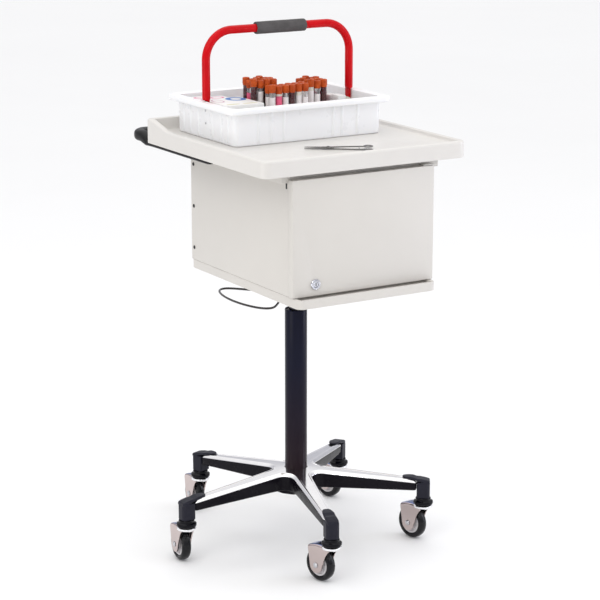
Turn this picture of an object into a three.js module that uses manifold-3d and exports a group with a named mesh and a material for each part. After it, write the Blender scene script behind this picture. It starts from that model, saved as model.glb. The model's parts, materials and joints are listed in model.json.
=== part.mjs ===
// Mobile blood-draw cart: a small locker under a moulded worktop, carried by a
// height-adjustable column on a five-leg caster base, with a lift-off carry
// tray and its contents on top.
// Millimetres, +Z up. X runs along the door's width, -Y is the door side.
// Everything is laid out around the column's axis, with heights counted from a
// datum 6 mm under the floor, then the whole group is moved so that its origin
// is the bottom centre of its bounding box.

import * as THREE from 'three';
import { mergeVertices } from 'three/addons/utils/BufferGeometryUtils.js';
import Module from 'manifold-3d';

const wasm = await Module();
wasm.setup();

// ---------------------------------------------------------------- dimensions
const GAP = 0.3;                 // clearance kept between touching pieces

// five-leg base
const STEM_R = 288.5;            // column axis to caster stem
const LEG_ANGLES = { 1: -33.7, 2: 38.3, 3: 110.3, 4: 182.3, 5: 254.3 };
const CASTER_TRAIL_DIR = { 1: 12, 2: 15, 3: -3.5, 4: -5, 5: 13.5 };
const LEG_END_R = 273;           // end of the cast leg
const LEG_TOP_HUB = 183, LEG_TOP_END = 153;
const LEG_BOT_HUB = 138, LEG_BOT_END = 128;
const LEG_HW_HUB = 24, LEG_HW_END = 13.5;
const HUB_R = 44, HUB_TOP = 182.5, HUB_BOT = 127;
const CAP_BOTTOM = 110.5, CAP_TOP = 149;

// casters
const WHEEL_R = 37.5, WHEEL_W = 22, TRAIL = 32.5;
const WHEEL_Z = 6 + WHEEL_R;     // axle height over the datum
const CORE_R = 25.5, AXLE_R = 4, STEM_ROD_R = 5.5;
const FORK_IN = 13.2, FORK_T = 2.6, FORK_TOP = 92.3, FORK_PLATE = 5.0;
const COLLAR_R = 22.5, COLLAR_BOT = 93.0, COLLAR_TOP = 110.0;

// column
const COL_R = 25, COL_WALL = 3, COL_BOT = 134, COL_TOP = 548;
const INNER_R = 15.5, INNER_BOT = 262, PLATE_T = 6;
const LIFT = 180;                // stroke of the column

// locker
const BOARD = 19;
const CAB_X = 171, CAB_BACK = 170, CAB_FRONT = -297;
const CAB_Z0 = 630, CAB_Z1 = CAB_Z0 + BOARD;            // bottom board
const PANEL_FRONT = -257, PANEL_BACK = 166;
const TOPB_Z0 = 889.7, TOPB_Z1 = 908.2, TOPB_X0 = -190, TOPB_X1 = 200, TOPB_FRONT = -256;
const DOOR_X0 = -174, DOOR_X1 = 177, DOOR_FRONT = -276, DOOR_BACK = -258;
const DOOR_Z0 = 650.8, DOOR_Z1 = 897;
const DOOR_PIVOT = [173.5, -271];
const LOCK = [-118.8, 674.5];

// worktop
const TOP_X0 = -247.5, TOP_X1 = 254, TOP_Y0 = -286, TOP_Y1 = 231;
const SKIRT_Z = 908.5, RIM_Z = 944.5, FLOOR_Z = 936, UNDER_Z = 930;
const RIM_W = 15, SKIRT_T = 6, SPLASH_Z = 963;

// carry tray
const TRAY_CX = -6.3, TRAY_CY = 61.5;
const TRAY_BX = 183.5, TRAY_BY = 129, TRAY_RX = 201, TRAY_RY = 146;
const TRAY_Z0 = 936.4, TRAY_Z1 = 1018.5, TRAY_T = 3.2;
const HANDLE_X = 181, HANDLE_R = 9, HANDLE_TOP = 1167.5, HANDLE_FOOT = 964;
const GRIP_R = 13.6, GRIP_X = 62;

// ------------------------------------------------------------------- colours
const mat = (color, roughness, metalness = 0) =>
  new THREE.MeshStandardMaterial({ color, roughness, metalness });
const M = {
  laminate: mat(0xe4e1dc, 0.5), worktop: mat(0xe2dfd9, 0.45),
  castAlu: mat(0xb9b5b0, 0.3, 1), black: mat(0x2c2c31, 0.45),
  glossBlack: mat(0x101014, 0.15), column: mat(0x15151a, 0.2, 0.4),
  chrome: mat(0xd8d8da, 0.12, 1), steel: mat(0x8e8e92, 0.3, 1),
  core: mat(0xbcbabb, 0.5), rubber: mat(0x151517, 0.7),
  trayWhite: mat(0xf0f0ee, 0.35), red: mat(0xb5101a, 0.25, 0.2),
  foam: mat(0x5e5c5c, 0.9), orange: mat(0xb8441c, 0.4),
  paper: mat(0xe6e3e2, 0.7), cream: mat(0xe8e2c8, 0.7), darkWire: mat(0x35353a, 0.3, 1),
};

// ------------------------------------------------------------------- helpers
function closed(positions, triangles) {
  // an indexed, closed BufferGeometry whose faces point out
  let volume = 0;
  const p = positions;
  for (const [a, b, c] of triangles) {
    const [ax, ay, az] = p[a], [bx, by, bz] = p[b], [cx, cy, cz] = p[c];
    volume += ax * (by * cz - bz * cy) + ay * (bz * cx - bx * cz) + az * (bx * cy - by * cx);
  }
  const tri = volume < 0 ? triangles.map(([a, b, c]) => [a, c, b]) : triangles;
  const g = new THREE.BufferGeometry();
  g.setAttribute('position', new THREE.Float32BufferAttribute(p.flat(), 3));
  g.setIndex(tri.flat());
  g.computeVertexNormals();
  return g;
}

// joins rings of equal length into one skin; convex end rings are fanned
function loft(rings, isClosed = false) {
  const n = rings[0].length, m = rings.length;
  const pos = rings.flat(), tri = [];
  const last = isClosed ? m : m - 1;
  for (let i = 0; i < last; i++) {
    const a = i * n, b = ((i + 1) % m) * n;
    for (let j = 0; j < n; j++) {
      const k = (j + 1) % n;
      tri.push([a + j, a + k, b + k], [a + j, b + k, b + j]);
    }
  }
  if (!isClosed) {
    for (let j = 1; j < n - 1; j++) {
      tri.push([0, j + 1, j]);
      const e = (m - 1) * n;
      tri.push([e, e + j, e + j + 1]);
    }
  }
  return closed(pos, tri);
}

// a round or oval bar swept along points; ry is measured along the binormal
function sweepRings(points, rx, ry = rx, sides = 10, isClosed = false, up = [0, 0, 1]) {
  const U = new THREE.Vector3(...up);
  const P = points.map((q) => new THREE.Vector3(...q));
  const m = P.length, rings = [];
  for (let i = 0; i < m; i++) {
    const prev = isClosed ? P[(i + m - 1) % m] : P[Math.max(i - 1, 0)];
    const next = isClosed ? P[(i + 1) % m] : P[Math.min(i + 1, m - 1)];
    const t = next.clone().sub(prev).normalize();
    const s = new THREE.Vector3().crossVectors(t, U).normalize();
    const b = new THREE.Vector3().crossVectors(s, t).normalize();
    const ax = Array.isArray(rx) ? rx[i] : rx, ay = Array.isArray(ry) ? ry[i] : ry;
    const ring = [];
    for (let j = 0; j < sides; j++) {
      const w = (j + 0.5) / sides * Math.PI * 2;
      const q = P[i].clone().addScaledVector(s, ax * Math.cos(w)).addScaledVector(b, ay * Math.sin(w));
      ring.push([q.x, q.y, q.z]);
    }
    rings.push(ring);
  }
  return rings;
}
const sweep = (points, rx, ry, sides, isClosed, up) => loft(sweepRings(points, rx, ry, sides, isClosed, up), isClosed);

// a closed profile of [radius, z] points turned about Z
function turn(profile, segments, phase = 0) {
  const pos = [], rows = profile.map(([r, z]) => {
    if (r < 1e-6) { pos.push([0, 0, z]); return { axis: true, at: pos.length - 1 }; }
    const at = pos.length;
    for (let j = 0; j < segments; j++) {
      const w = (j + phase) / segments * Math.PI * 2;
      pos.push([r * Math.cos(w), r * Math.sin(w), z]);
    }
    return { axis: false, at };
  });
  const tri = [], m = rows.length, open = rows[0].axis && rows[m - 1].axis;
  for (let i = 0; i < (open ? m - 1 : m); i++) {
    const A = rows[i], B = rows[(i + 1) % m];
    for (let j = 0; j < segments; j++) {
      const k = (j + 1) % segments;
      if (A.axis && B.axis) continue;
      if (A.axis) tri.push([A.at, B.at + j, B.at + k]);
      else if (B.axis) tri.push([A.at + j, B.at, A.at + k]);
      else tri.push([A.at + j, B.at + j, B.at + k], [A.at + j, B.at + k, A.at + k]);
    }
  }
  return closed(pos, tri);
}

const ring = (r0, r1, z0, z1, seg) => turn([[r0, z0], [r1, z0], [r1, z1], [r0, z1]], seg);
const rod = (r, z0, z1, seg) => turn([[0, z0], [r, z0], [r, z1], [0, z1]], seg);
const box = (x0, x1, y0, y1, z0, z1) =>
  new THREE.BoxGeometry(x1 - x0, y1 - y0, z1 - z0).translate((x0 + x1) / 2, (y0 + y1) / 2, (z0 + z1) / 2);

// outline of a rectangle; r is one radius or [x0y0, x1y0, x1y1, x0y1]
function rounded(x0, x1, y0, y1, r, n = 4) {
  const R = Array.isArray(r) ? r : [r, r, r, r];
  const corners = [[x0, y0, 1, 1, 180], [x1, y0, -1, 1, 270], [x1, y1, -1, -1, 0], [x0, y1, 1, -1, 90]];
  const out = [];
  corners.forEach(([x, y, sx, sy, a0], i) => {
    const q = R[i];
    if (q <= 0) { out.push([x, y]); return; }
    for (let k = 0; k <= n; k++) {
      const w = (a0 + 90 * k / n) * Math.PI / 180;
      out.push([x + sx * q + q * Math.cos(w), y + sy * q + q * Math.sin(w)]);
    }
  });
  return out;
}
function prism(outline, z0, z1) {
  const shape = new THREE.Shape(outline.map(([x, y]) => new THREE.Vector2(x, y)));
  return new THREE.ExtrudeGeometry(shape, { depth: z1 - z0, bevelEnabled: false, steps: 1 }).translate(0, 0, z0);
}
// a prism whose outline lies in another plane: 'yz' is pushed along X, 'xz' along Y
function prismAlong(plane, outline, a, b) {
  const g = prism(outline, a, b);
  const m = plane === 'yz'
    ? new THREE.Matrix4().set(0, 0, 1, 0, 1, 0, 0, 0, 0, 1, 0, 0, 0, 0, 0, 1)
    : new THREE.Matrix4().set(1, 0, 0, 0, 0, 0, -1, 0, 0, 1, 0, 0, 0, 0, 0, 1);
  if (plane === 'xz') { g.applyMatrix4(new THREE.Matrix4().makeTranslation(0, 0, -(a + b))); }
  return g.applyMatrix4(m);
}

// booleans
function solid(geometry) {
  let g = geometry.index ? geometry.clone() : geometry.clone();
  g.deleteAttribute('normal');
  g.deleteAttribute('uv');
  g = mergeVertices(g, 1e-4);
  const idx = g.index.array, keep = [];
  for (let i = 0; i < idx.length; i += 3) {
    const a = idx[i], b = idx[i + 1], c = idx[i + 2];
    if (a !== b && b !== c && a !== c) keep.push(a, b, c);
  }
  return new wasm.Manifold(new wasm.Mesh({
    numProp: 3,
    vertProperties: new Float32Array(g.attributes.position.array),
    triVerts: new Uint32Array(keep),
  }));
}
function skin(manifold) {
  const m = manifold.getMesh();
  const g = new THREE.BufferGeometry();
  const n = m.vertProperties.length / m.numProp, pos = new Float32Array(n * 3);
  for (let i = 0; i < n; i++) {
    for (let k = 0; k < 3; k++) pos[i * 3 + k] = m.vertProperties[i * m.numProp + k];
  }
  g.setAttribute('position', new THREE.BufferAttribute(pos, 3));
  g.setIndex(new THREE.BufferAttribute(new Uint32Array(m.triVerts), 1));
  g.computeVertexNormals();
  return g;
}
const join = (...list) => list.map(solid).reduce((a, b) => a.add(b));
const at = (g, x, y, z) => g.clone().translate(x, y, z);
const rad = (d) => d * Math.PI / 180;

const group = new THREE.Group();
function part(name, geometry, material, parent = group) {
  const mesh = new THREE.Mesh(geometry, material);
  mesh.name = name;
  parent.add(mesh);
  return mesh;
}

// ---------------------------------------------------------------------- base
// each cast leg: black-painted sides, a bevel, and a narrow polished top
function legGeometry() {
  const rings = [];
  for (const t of [0, 0.08, 0.5, 1]) {
    const r = 8 + (LEG_END_R - 8) * t;
    const s = r / LEG_END_R;
    const hw = LEG_HW_HUB + (LEG_HW_END - LEG_HW_HUB) * s;
    const zt = LEG_TOP_HUB + (LEG_TOP_END - LEG_TOP_HUB) * s;
    const zb = LEG_BOT_HUB + (LEG_BOT_END - LEG_BOT_HUB) * s;
    const bev = 6.5;
    rings.push([
      [r, -hw * 0.82, zb], [r, hw * 0.82, zb], [r, hw, zb + 4], [r, hw, zt - bev],
      [r, hw - 5.5, zt], [r, -hw + 5.5, zt], [r, -hw, zt - bev], [r, -hw, zb + 4],
    ]);
  }
  return loft(rings);
}
{
  let star = solid(turn([[0, HUB_BOT], [HUB_R - 6, HUB_BOT], [HUB_R, HUB_BOT + 6],
    [HUB_R, HUB_TOP - 6], [HUB_R - 8, HUB_TOP], [0, HUB_TOP]], 40));
  for (const k of [1, 2, 3, 4, 5]) {
    star = star.add(solid(legGeometry().rotateZ(rad(LEG_ANGLES[k]))));
  }
  // socket for the column
  star = star.subtract(solid(rod(COL_R + GAP, COL_BOT - GAP, HUB_TOP + 5, 40)));
  star = star.subtract(solid(rod(COL_R - 8, HUB_BOT - 5, COL_BOT + 5, 24)));
  part('star_base', skin(star), M.castAlu);
}

// plastic end cap of a leg: a socket post for the caster stem with a tongue
// that lies over the end of the leg; local +X points away from the column
function capGeometry() {
  const x0 = LEG_END_R - STEM_R + GAP;
  const post = prism(rounded(x0, 15, -15, 15, [2, 9, 9, 2], 2), CAP_BOTTOM, CAP_TOP - 5);
  const top = loft([
    rounded(x0, 15, -15, 15, [2, 9, 9, 2], 2).map(([x, y]) => [x, y, CAP_TOP - 5.2]),
    rounded(x0, 12, -12.5, 12.5, [2, 8, 8, 2], 2).map(([x, y]) => [x, y, CAP_TOP + 3.5 - (x - x0) * 0.22]),
  ]);
  const slope = (x) => LEG_TOP_END + (LEG_END_R - STEM_R - x) * (LEG_TOP_HUB - LEG_TOP_END) / LEG_END_R;
  const tongue = loft([x0 + 3, x0, -46].map((x) => {
    const w = x < -40 ? 7.5 : 12.5, z = x > x0 ? CAP_TOP - 3 : slope(x) + 0.5, t = x < -40 ? 3.2 : 4.6;
    const zt = x > x0 ? CAP_TOP + 2.8 : z + t;
    return [[x, -w, z], [x, w, z], [x, w - 1.5, zt], [x, -w + 1.5, zt]];
  }));
  let s = join(post, top, tongue);
  s = s.subtract(solid(at(rod(STEM_ROD_R + 0.6, CAP_BOTTOM - 5, 142, 10), 0, 0, 0)));
  return skin(s);
}
const capGeo = capGeometry();
for (const k of [1, 2, 3, 4, 5]) {
  const g = new THREE.Group();
  g.rotation.z = rad(LEG_ANGLES[k]);
  group.add(g);
  part(`leg_cap_${k}`, capGeo.clone().translate(STEM_R, 0, 0), M.black, g);
}

// -------------------------------------------------------------------- casters
// local frame: stem on the origin, wheel trailing towards +Y, axle along X
const collarGeo = turn([
  [STEM_ROD_R + 0.6, COLLAR_BOT], [COLLAR_R, COLLAR_BOT],
  [COLLAR_R, COLLAR_TOP - 5], [COLLAR_R - 4, COLLAR_TOP], [STEM_ROD_R + 0.6, COLLAR_TOP]], 20);

function forkGeometry() {
  const zc = WHEEL_Z, R = 18, z1 = FORK_TOP, back = TRAIL + 24;
  // side plate outline in (y, z)
  const outline = [];
  for (let i = 0; i <= 7; i++) {
    const w = Math.PI + i / 7 * Math.PI;
    outline.push([TRAIL + R * Math.cos(w), zc + R * Math.sin(w)]);
  }
  outline.push([back, z1 - 7], [back - 3, z1], [-6, z1], [4, zc + 26]);
  const plateL = prismAlong('yz', outline, -FORK_IN - FORK_T, -FORK_IN);
  const plateR = prismAlong('yz', outline, FORK_IN, FORK_IN + FORK_T);
  const hood = prism(rounded(-FORK_IN - FORK_T, FORK_IN + FORK_T, -6, back - 3, [4, 4, 6, 6], 1), z1 - FORK_PLATE, z1);
  const disc = rod(COLLAR_R - 1, z1 - FORK_PLATE, z1, 16);
  const stem = rod(STEM_ROD_R, z1 - 1, 140, 10);
  let s = join(plateL, plateR, hood, disc, stem);
  const axle = new THREE.CylinderGeometry(AXLE_R + 0.4, AXLE_R + 0.4, 80, 10).rotateZ(Math.PI / 2).translate(0, TRAIL, zc);
  return skin(s.subtract(solid(axle)));
}
const forkGeo = forkGeometry();
const axleGeo = turn([
  [0, -19], [6.4, -19], [6.4, -16.2], [AXLE_R, -16.2], [AXLE_R, 16.2],
  [6.4, 16.2], [6.4, 19], [0, 19]], 10).rotateY(Math.PI / 2);
const H = WHEEL_W / 2;
const coreGeo = turn([
  [AXLE_R + 0.4, -12], [8, -12], [9, -7], [CORE_R, -8.5],
  [CORE_R, 8.5], [9, 7], [8, 12], [AXLE_R + 0.4, 12]], 16).rotateY(Math.PI / 2);
const tyreGeo = turn([
  [CORE_R + 0.8, -8.5], [CORE_R + 4, -H], [WHEEL_R - 5, -H + 1], [WHEEL_R, -4],
  [WHEEL_R, 4], [WHEEL_R - 5, H - 1], [CORE_R + 4, H], [CORE_R + 0.8, 8.5]], 24).rotateY(Math.PI / 2);
for (const k of [1, 2, 3, 4, 5]) {
  const g = new THREE.Group(), w = rad(LEG_ANGLES[k]);
  g.position.set(STEM_R * Math.cos(w), STEM_R * Math.sin(w), 0);
  g.rotation.z = rad(CASTER_TRAIL_DIR[k]);
  group.add(g);
  part(`caster_collar_${k}`, collarGeo.clone(), M.glossBlack, g);
  part(`caster_fork_${k}`, forkGeo.clone(), M.chrome, g);
  part(`caster_axle_${k}`, axleGeo.clone().translate(0, TRAIL, WHEEL_Z), M.steel, g);
  part(`wheel_core_${k}`, coreGeo.clone().translate(0, TRAIL, WHEEL_Z), M.core, g);
  part(`wheel_tyre_${k}`, tyreGeo.clone().translate(0, TRAIL, WHEEL_Z), M.rubber, g);
}

// --------------------------------------------------------------------- column
part('column_tube', turn([
  [COL_R - COL_WALL, COL_BOT], [COL_R, COL_BOT], [COL_R, COL_TOP - 1.5], [COL_R - 1, COL_TOP],
  [COL_R - COL_WALL, COL_TOP]], 40), M.column);
part('column_bush', turn([
  [INNER_R + 0.25, COL_TOP - 46], [COL_R - COL_WALL - 0.2, COL_TOP - 46],
  [COL_R - COL_WALL - 0.2, COL_TOP - 4], [COL_R - COL_WALL - 3, COL_TOP - 2],
  [INNER_R + 0.25, COL_TOP - 5]], 32), M.black);
part('column_inner_tube', turn([
  [INNER_R - 2.5, INNER_BOT], [INNER_R, INNER_BOT], [INNER_R, CAB_Z0 - GAP - PLATE_T - GAP],
  [INNER_R - 2.5, CAB_Z0 - GAP - PLATE_T - GAP]], 32), M.steel);
{
  const z1 = CAB_Z0 - GAP;
  let plate = solid(prism(rounded(-75, 75, -75, 75, 10, 3), z1 - PLATE_T, z1));
  part('column_top_plate', skin(plate), M.black);
}

// release lever: a fan-shaped wire loop hinged in two ears under the locker
const PIVOT_X = -36, PIVOT_Z = 587;
{
  const z1 = CAB_Z0 - GAP - PLATE_T - GAP;
  const web = box(-48, -22, -13, 13, z1 - 4, z1);
  const ear = [[-48, z1], [-48, z1 - 12], [PIVOT_X - 8, PIVOT_Z - 7], [PIVOT_X + 8, PIVOT_Z - 7], [-24, z1 - 12], [-24, z1]];
  const earA = prismAlong('xz', ear, -13, -10), earB = prismAlong('xz', ear, 10, 13);
  let s = join(web, earA, earB);
  const hole = new THREE.CylinderGeometry(2.9, 2.9, 60, 12).translate(PIVOT_X, 0, PIVOT_Z);
  s = s.subtract(solid(hole));
  part('release_bracket', skin(s), M.black);

  const half = [[-36, 8], [-36, 15.5], [-38.5, 19.5], [-57, 38], [-80, 62], [-97, 82], [-110, 95.5], [-120, 102],
    [-131, 102], [-141, 94], [-149, 80], [-156, 58], [-160.5, 34], [-162.5, 10]];
  const flat = [...half.map(([x, y]) => [x, y, PIVOT_Z]), ...half.slice().reverse().map(([x, y]) => [x, -y, PIVOT_Z])];
  const curve = new THREE.CatmullRomCurve3(flat.map((q) => new THREE.Vector3(...q)), true, 'centripetal');
  const pts = curve.getSpacedPoints(52).slice(0, 52).map((v) => [v.x, v.y, PIVOT_Z]);
  part('release_loop', sweep(pts, 2.45, 2.45, 6, true), M.darkWire);
}

// --------------------------------------------------------------------- locker
{
  // bottom board with a low front lip, and a socket for the lower door pivot
  let b = solid(prism(rounded(-CAB_X, CAB_X, CAB_FRONT, CAB_BACK, [14, 14, 14, 14], 5), CAB_Z0, CAB_Z1));
  b = b.subtract(solid(box(-163, 163, -291.5, PANEL_FRONT - 1, CAB_Z1 - 5, CAB_Z1 + 5)));
  b = b.subtract(solid(at(rod(2.8, CAB_Z1 - 16, CAB_Z1 + 5, 12), ...DOOR_PIVOT, 0)));
  part('cabinet_bottom_board', skin(b), M.laminate);

  let t = solid(prism(rounded(TOPB_X0, TOPB_X1, TOPB_FRONT, PANEL_BACK, [8, 3, 8, 8], 3), TOPB_Z0, TOPB_Z1));
  part('cabinet_top_board', skin(t), M.laminate);

  const z0 = CAB_Z1 + GAP, z1 = TOPB_Z0 - GAP;
  // the left panel has a mortise that the lock's cam turns into
  part('cabinet_left_panel', skin(solid(box(-CAB_X, -CAB_X + BOARD, PANEL_FRONT, PANEL_BACK, z0, z1))
    .subtract(solid(box(-CAB_X + BOARD - 8, -CAB_X + BOARD + 5, -252.5, -243, LOCK[1] - 10, LOCK[1] + 27)))), M.laminate);
  part('cabinet_right_panel', box(CAB_X - BOARD, CAB_X, PANEL_FRONT, PANEL_BACK, z0, z1), M.laminate);
  part('cabinet_back_panel', box(-CAB_X + BOARD + GAP, CAB_X - BOARD - GAP, PANEL_BACK - 14, PANEL_BACK - 2, z0, z1), M.laminate);
}

// door, turned on two pins near its right edge, and its cam lock
{
  let d = solid(prism(rounded(DOOR_X0, DOOR_X1, DOOR_FRONT, DOOR_BACK, [1.5, 4, 1, 1.5], 2), DOOR_Z0, DOOR_Z1));
  const lockHole = new THREE.CylinderGeometry(9.8, 9.8, 60, 20).translate(LOCK[0], -270, LOCK[1]);
  d = d.subtract(solid(lockHole));
  d = d.subtract(solid(at(rod(2.9, DOOR_Z0 - 5, DOOR_Z0 + 14, 12), DOOR_PIVOT[0], DOOR_PIVOT[1], 0)));
  d = d.subtract(solid(at(rod(2.9, DOOR_Z1 - 14, DOOR_Z1 + 5, 12), DOOR_PIVOT[0], DOOR_PIVOT[1], 0)));
  part('cabinet_door', skin(d), M.laminate);

  // lower pivot pin stands in the bottom board
  part('hinge_pin_lower', at(turn([[0, CAB_Z1 - 15], [2.4, CAB_Z1 - 15], [2.4, CAB_Z1 + 13], [0, CAB_Z1 + 13]], 12), ...DOOR_PIVOT, 0), M.steel);
  // upper pivot bracket hangs on the top board's front edge
  const hx = DOOR_PIVOT[0], hy = DOOR_PIVOT[1];
  const tab = box(hx - 24, hx + 3, TOPB_FRONT - 2.3, TOPB_FRONT - GAP, DOOR_Z1 + 1.2, TOPB_Z1 - 1);
  const arm = box(hx - 24, hx + 3, hy - 4, TOPB_FRONT - GAP, DOOR_Z1 + 1.2, DOOR_Z1 + 3.2);
  const pin = at(rod(2.4, DOOR_Z1 - 12, DOOR_Z1 + 2.2, 12), hx, hy, 0);
  part('hinge_bracket_upper', skin(join(tab, arm, pin)), M.steel);

  const alongY = (g) => g.rotateX(Math.PI / 2).translate(LOCK[0], 0, LOCK[1]); // local z becomes -Y
  part('lock_body', alongY(turn([[6.2, 250], [9.4, 250], [9.4, -DOOR_FRONT + GAP], [11, -DOOR_FRONT + GAP],
    [9.6, -DOOR_FRONT + 3], [6.2, -DOOR_FRONT + 3]], 18)), M.chrome);
  const plug = alongY(rod(5.9, 246, -DOOR_FRONT + 2.2, 20));
  const cam = box(LOCK[0] - 6, LOCK[0] + 6, -248.6, -246.2, LOCK[1] - 7, LOCK[1] + 38);
  const slot = box(LOCK[0] - 0.9, LOCK[0] + 0.9, DOOR_FRONT - 6, DOOR_FRONT + 4, LOCK[1] - 3.6, LOCK[1] + 3.6);
  part('lock_plug', skin(join(plug, cam).subtract(solid(slot))), M.chrome);
}

// -------------------------------------------------------------------- worktop
{
  const outer = (z0, z1, inset, r) => prism(rounded(TOP_X0 + inset, TOP_X1 - inset, TOP_Y0 + inset, TOP_Y1 - inset, [r, r, Math.max(r - 10, 4), Math.max(r - 10, 4)], 5), z0, z1);
  let w = solid(outer(SKIRT_Z, RIM_Z, 0, 21));
  // raised back edge with wings that slope down to the side rims
  const ringHi = solid(outer(RIM_Z - 2, SPLASH_Z, 0, 21));
  const wing = prismAlong('yz', [[132, RIM_Z - 3], [212, SPLASH_Z], [TOP_Y1 + 5, SPLASH_Z + 1], [TOP_Y1 + 5, RIM_Z - 3]], TOP_X0 - 5, TOP_X1 + 5);
  w = w.add(ringHi.intersect(solid(wing)));
  w = w.subtract(solid(outer(FLOOR_Z, SPLASH_Z + 5, RIM_W, 14)));
  w = w.subtract(solid(outer(SKIRT_Z - 5, UNDER_Z, SKIRT_T, 18)));
  part('worktop', skin(w), M.worktop);
}

// push handle: flat arms under the skirt, swelling into an oval rear grip
{
  const zA = SKIRT_Z - GAP - 4, xA = 234.5, half = [
    // x, y, z, half width, half height
    [-xA, -40, zA, 3, 1.5], [-xA, -35, zA, 9, 3.6], [-xA, 60, zA, 10, 4], [-xA, 200, zA, 10, 4],
    [-xA, 234, zA - 0.8, 10, 3.6], [-xA, 243, 905.5, 10.5, 7.5], [-xA, 253, 911, 11.5, 11], [-xA, 268, 916.5, 12.5, 12.8],
    [-xA, 284, 917, 13, 13], [-xA + 5, 294, 917, 14, 13], [-xA + 15, 301, 917, 15.5, 13], [-xA + 28, 303, 917, 16.5, 13], [-80, 303, 917, 17, 13],
  ];
  const all = [...half, ...half.slice().reverse().map(([x, y, z, a, b]) => [6.5 - x, y, z, a, b])];
  const pts = all.map(([x, y, z]) => [x, y, z]);
  part('push_handle', sweep(pts, all.map((q) => q[3]), all.map((q) => q[4]), 12), M.black);
}

// ----------------------------------------------------------------- carry tray
{
  const cx = TRAY_CX, cy = TRAY_CY, n = 5;
  const ringAt = (hx, hy, r, z) => rounded(cx - hx, cx + hx, cy - hy, cy + hy, r, n).map(([x, y]) => [x, y, z]);
  const lip = TRAY_Z1 - 12;
  // one continuous skin: outside, over the flange, down the inside
  const outside = [
    ringAt(TRAY_BX - 2, TRAY_BY - 2, 12, TRAY_Z0), ringAt(TRAY_BX, TRAY_BY, 14, TRAY_Z0 + 3),
    ringAt(TRAY_BX + 1.5, TRAY_BY + 1.5, 15, lip), ringAt(TRAY_RX - 1, TRAY_RY - 1, 14, lip),
    ringAt(TRAY_RX, TRAY_RY, 15, lip + 2), ringAt(TRAY_RX, TRAY_RY, 15, TRAY_Z1 - 2),
    ringAt(TRAY_RX - 2, TRAY_RY - 2, 13.5, TRAY_Z1), ringAt(TRAY_BX + 1.5 - TRAY_T, TRAY_BY + 1.5 - TRAY_T, 13, TRAY_Z1),
    ringAt(TRAY_BX - TRAY_T, TRAY_BY - TRAY_T, 11, TRAY_Z0 + 5), ringAt(TRAY_BX - TRAY_T - 2, TRAY_BY - TRAY_T - 2, 10, TRAY_Z0 + 3.5),
  ];
  part('tray_tub', loft(outside), M.trayWhite);

  // red tubular handle: straight legs that stand on the flange and end in
  // flattened tabs, screwed to the inside of the end walls
  const pts = [], zt = HANDLE_TOP, Rb = 62, x0 = cx - HANDLE_X, x1 = cx + HANDLE_X, sides = 10;
  for (let i = 0; i <= 7; i++) {
    const w = Math.PI - i / 7 * Math.PI / 2;
    pts.push([x0 + Rb + Rb * Math.cos(w), cy, zt - Rb + Rb * Math.sin(w)]);
  }
  for (let i = 0; i <= 7; i++) {
    const w = Math.PI / 2 - i / 7 * Math.PI / 2;
    pts.push([x1 - Rb + Rb * Math.cos(w), cy, zt - Rb + Rb * Math.sin(w)]);
  }
  pts.unshift([x0, cy, TRAY_Z1 + 40]);
  pts.push([x1, cy, TRAY_Z1 + 40]);
  const level = (x, z, rx, ry, sign) => {
    const r = [];
    for (let j = 0; j < sides; j++) {
      const w = (j + 0.5) / sides * Math.PI * 2;
      r.push([x + sign * rx * Math.cos(w), cy + ry * Math.sin(w), z]);
    }
    return r;
  };
  const foot = (side, sign) => {
    const tab = cx + side * (TRAY_BX - 4.7), leg = cx + side * HANDLE_X;
    return [level(tab, HANDLE_FOOT, 1.2, 11, sign), level(tab, TRAY_Z1 - 4, 1.2, 11.5, sign),
      level(tab, TRAY_Z1 + 0.8, 1.4, 11.5, sign), level(leg, TRAY_Z1 + 1.4, 8, 9.6, sign),
      level(leg, TRAY_Z1 + 8, HANDLE_R, HANDLE_R, sign)];
  };
  part('tray_handle', loft([...foot(-1, -1), ...sweepRings(pts, HANDLE_R, HANDLE_R, sides, false, [0, 1, 0]),
    ...foot(1, 1).reverse()]), M.red);
  part('handle_grip', ring(HANDLE_R + 0.4, GRIP_R, -GRIP_X, GRIP_X, 20).rotateY(Math.PI / 2).translate(cx + 3, cy, zt), M.foam);
}

// tray contents: three stands of capped sample tubes, cartons and packets
{
  const z0 = TRAY_Z0 + 4.2;
  const bundle = (spots, r) => {
    let s = null;
    for (const [x, y, h] of spots) {
      const c = solid(at(rod(r, z0, h, 8), x, y, 0));
      s = s ? s.add(c) : c;
    }
    return skin(s);
  };
  const P = 16.6, R = 8.8;
  const rowsOf = (x, y, nx, ny, h, drop = 0) => {
    const out = [];
    for (let j = 0; j < ny; j++) for (let i = 0; i < nx; i++) out.push([x + i * P, y + j * P * 0.99, h - drop * ((i + j) % 2)]);
    return out;
  };
  part('tube_bundle_1', bundle(rowsOf(-71, 60, 4, 3, 1058, 3), R), M.orange);
  part('tube_bundle_2', bundle(rowsOf(-45, 24, 6, 2, 1047, 2), R), M.orange);
  part('tube_bundle_3', bundle(rowsOf(66, 46, 3, 4, 1049, 3), R), M.orange);
  part('swab_carton', box(-176, -84, 103, 180, z0, 1010), M.paper);
  part('wipe_carton', box(-176, -84, -8, 100, z0, 1015), M.cream);
  part('bandage_carton', box(118, 158, 14, 76, z0, 1012), M.paper);
}

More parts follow.
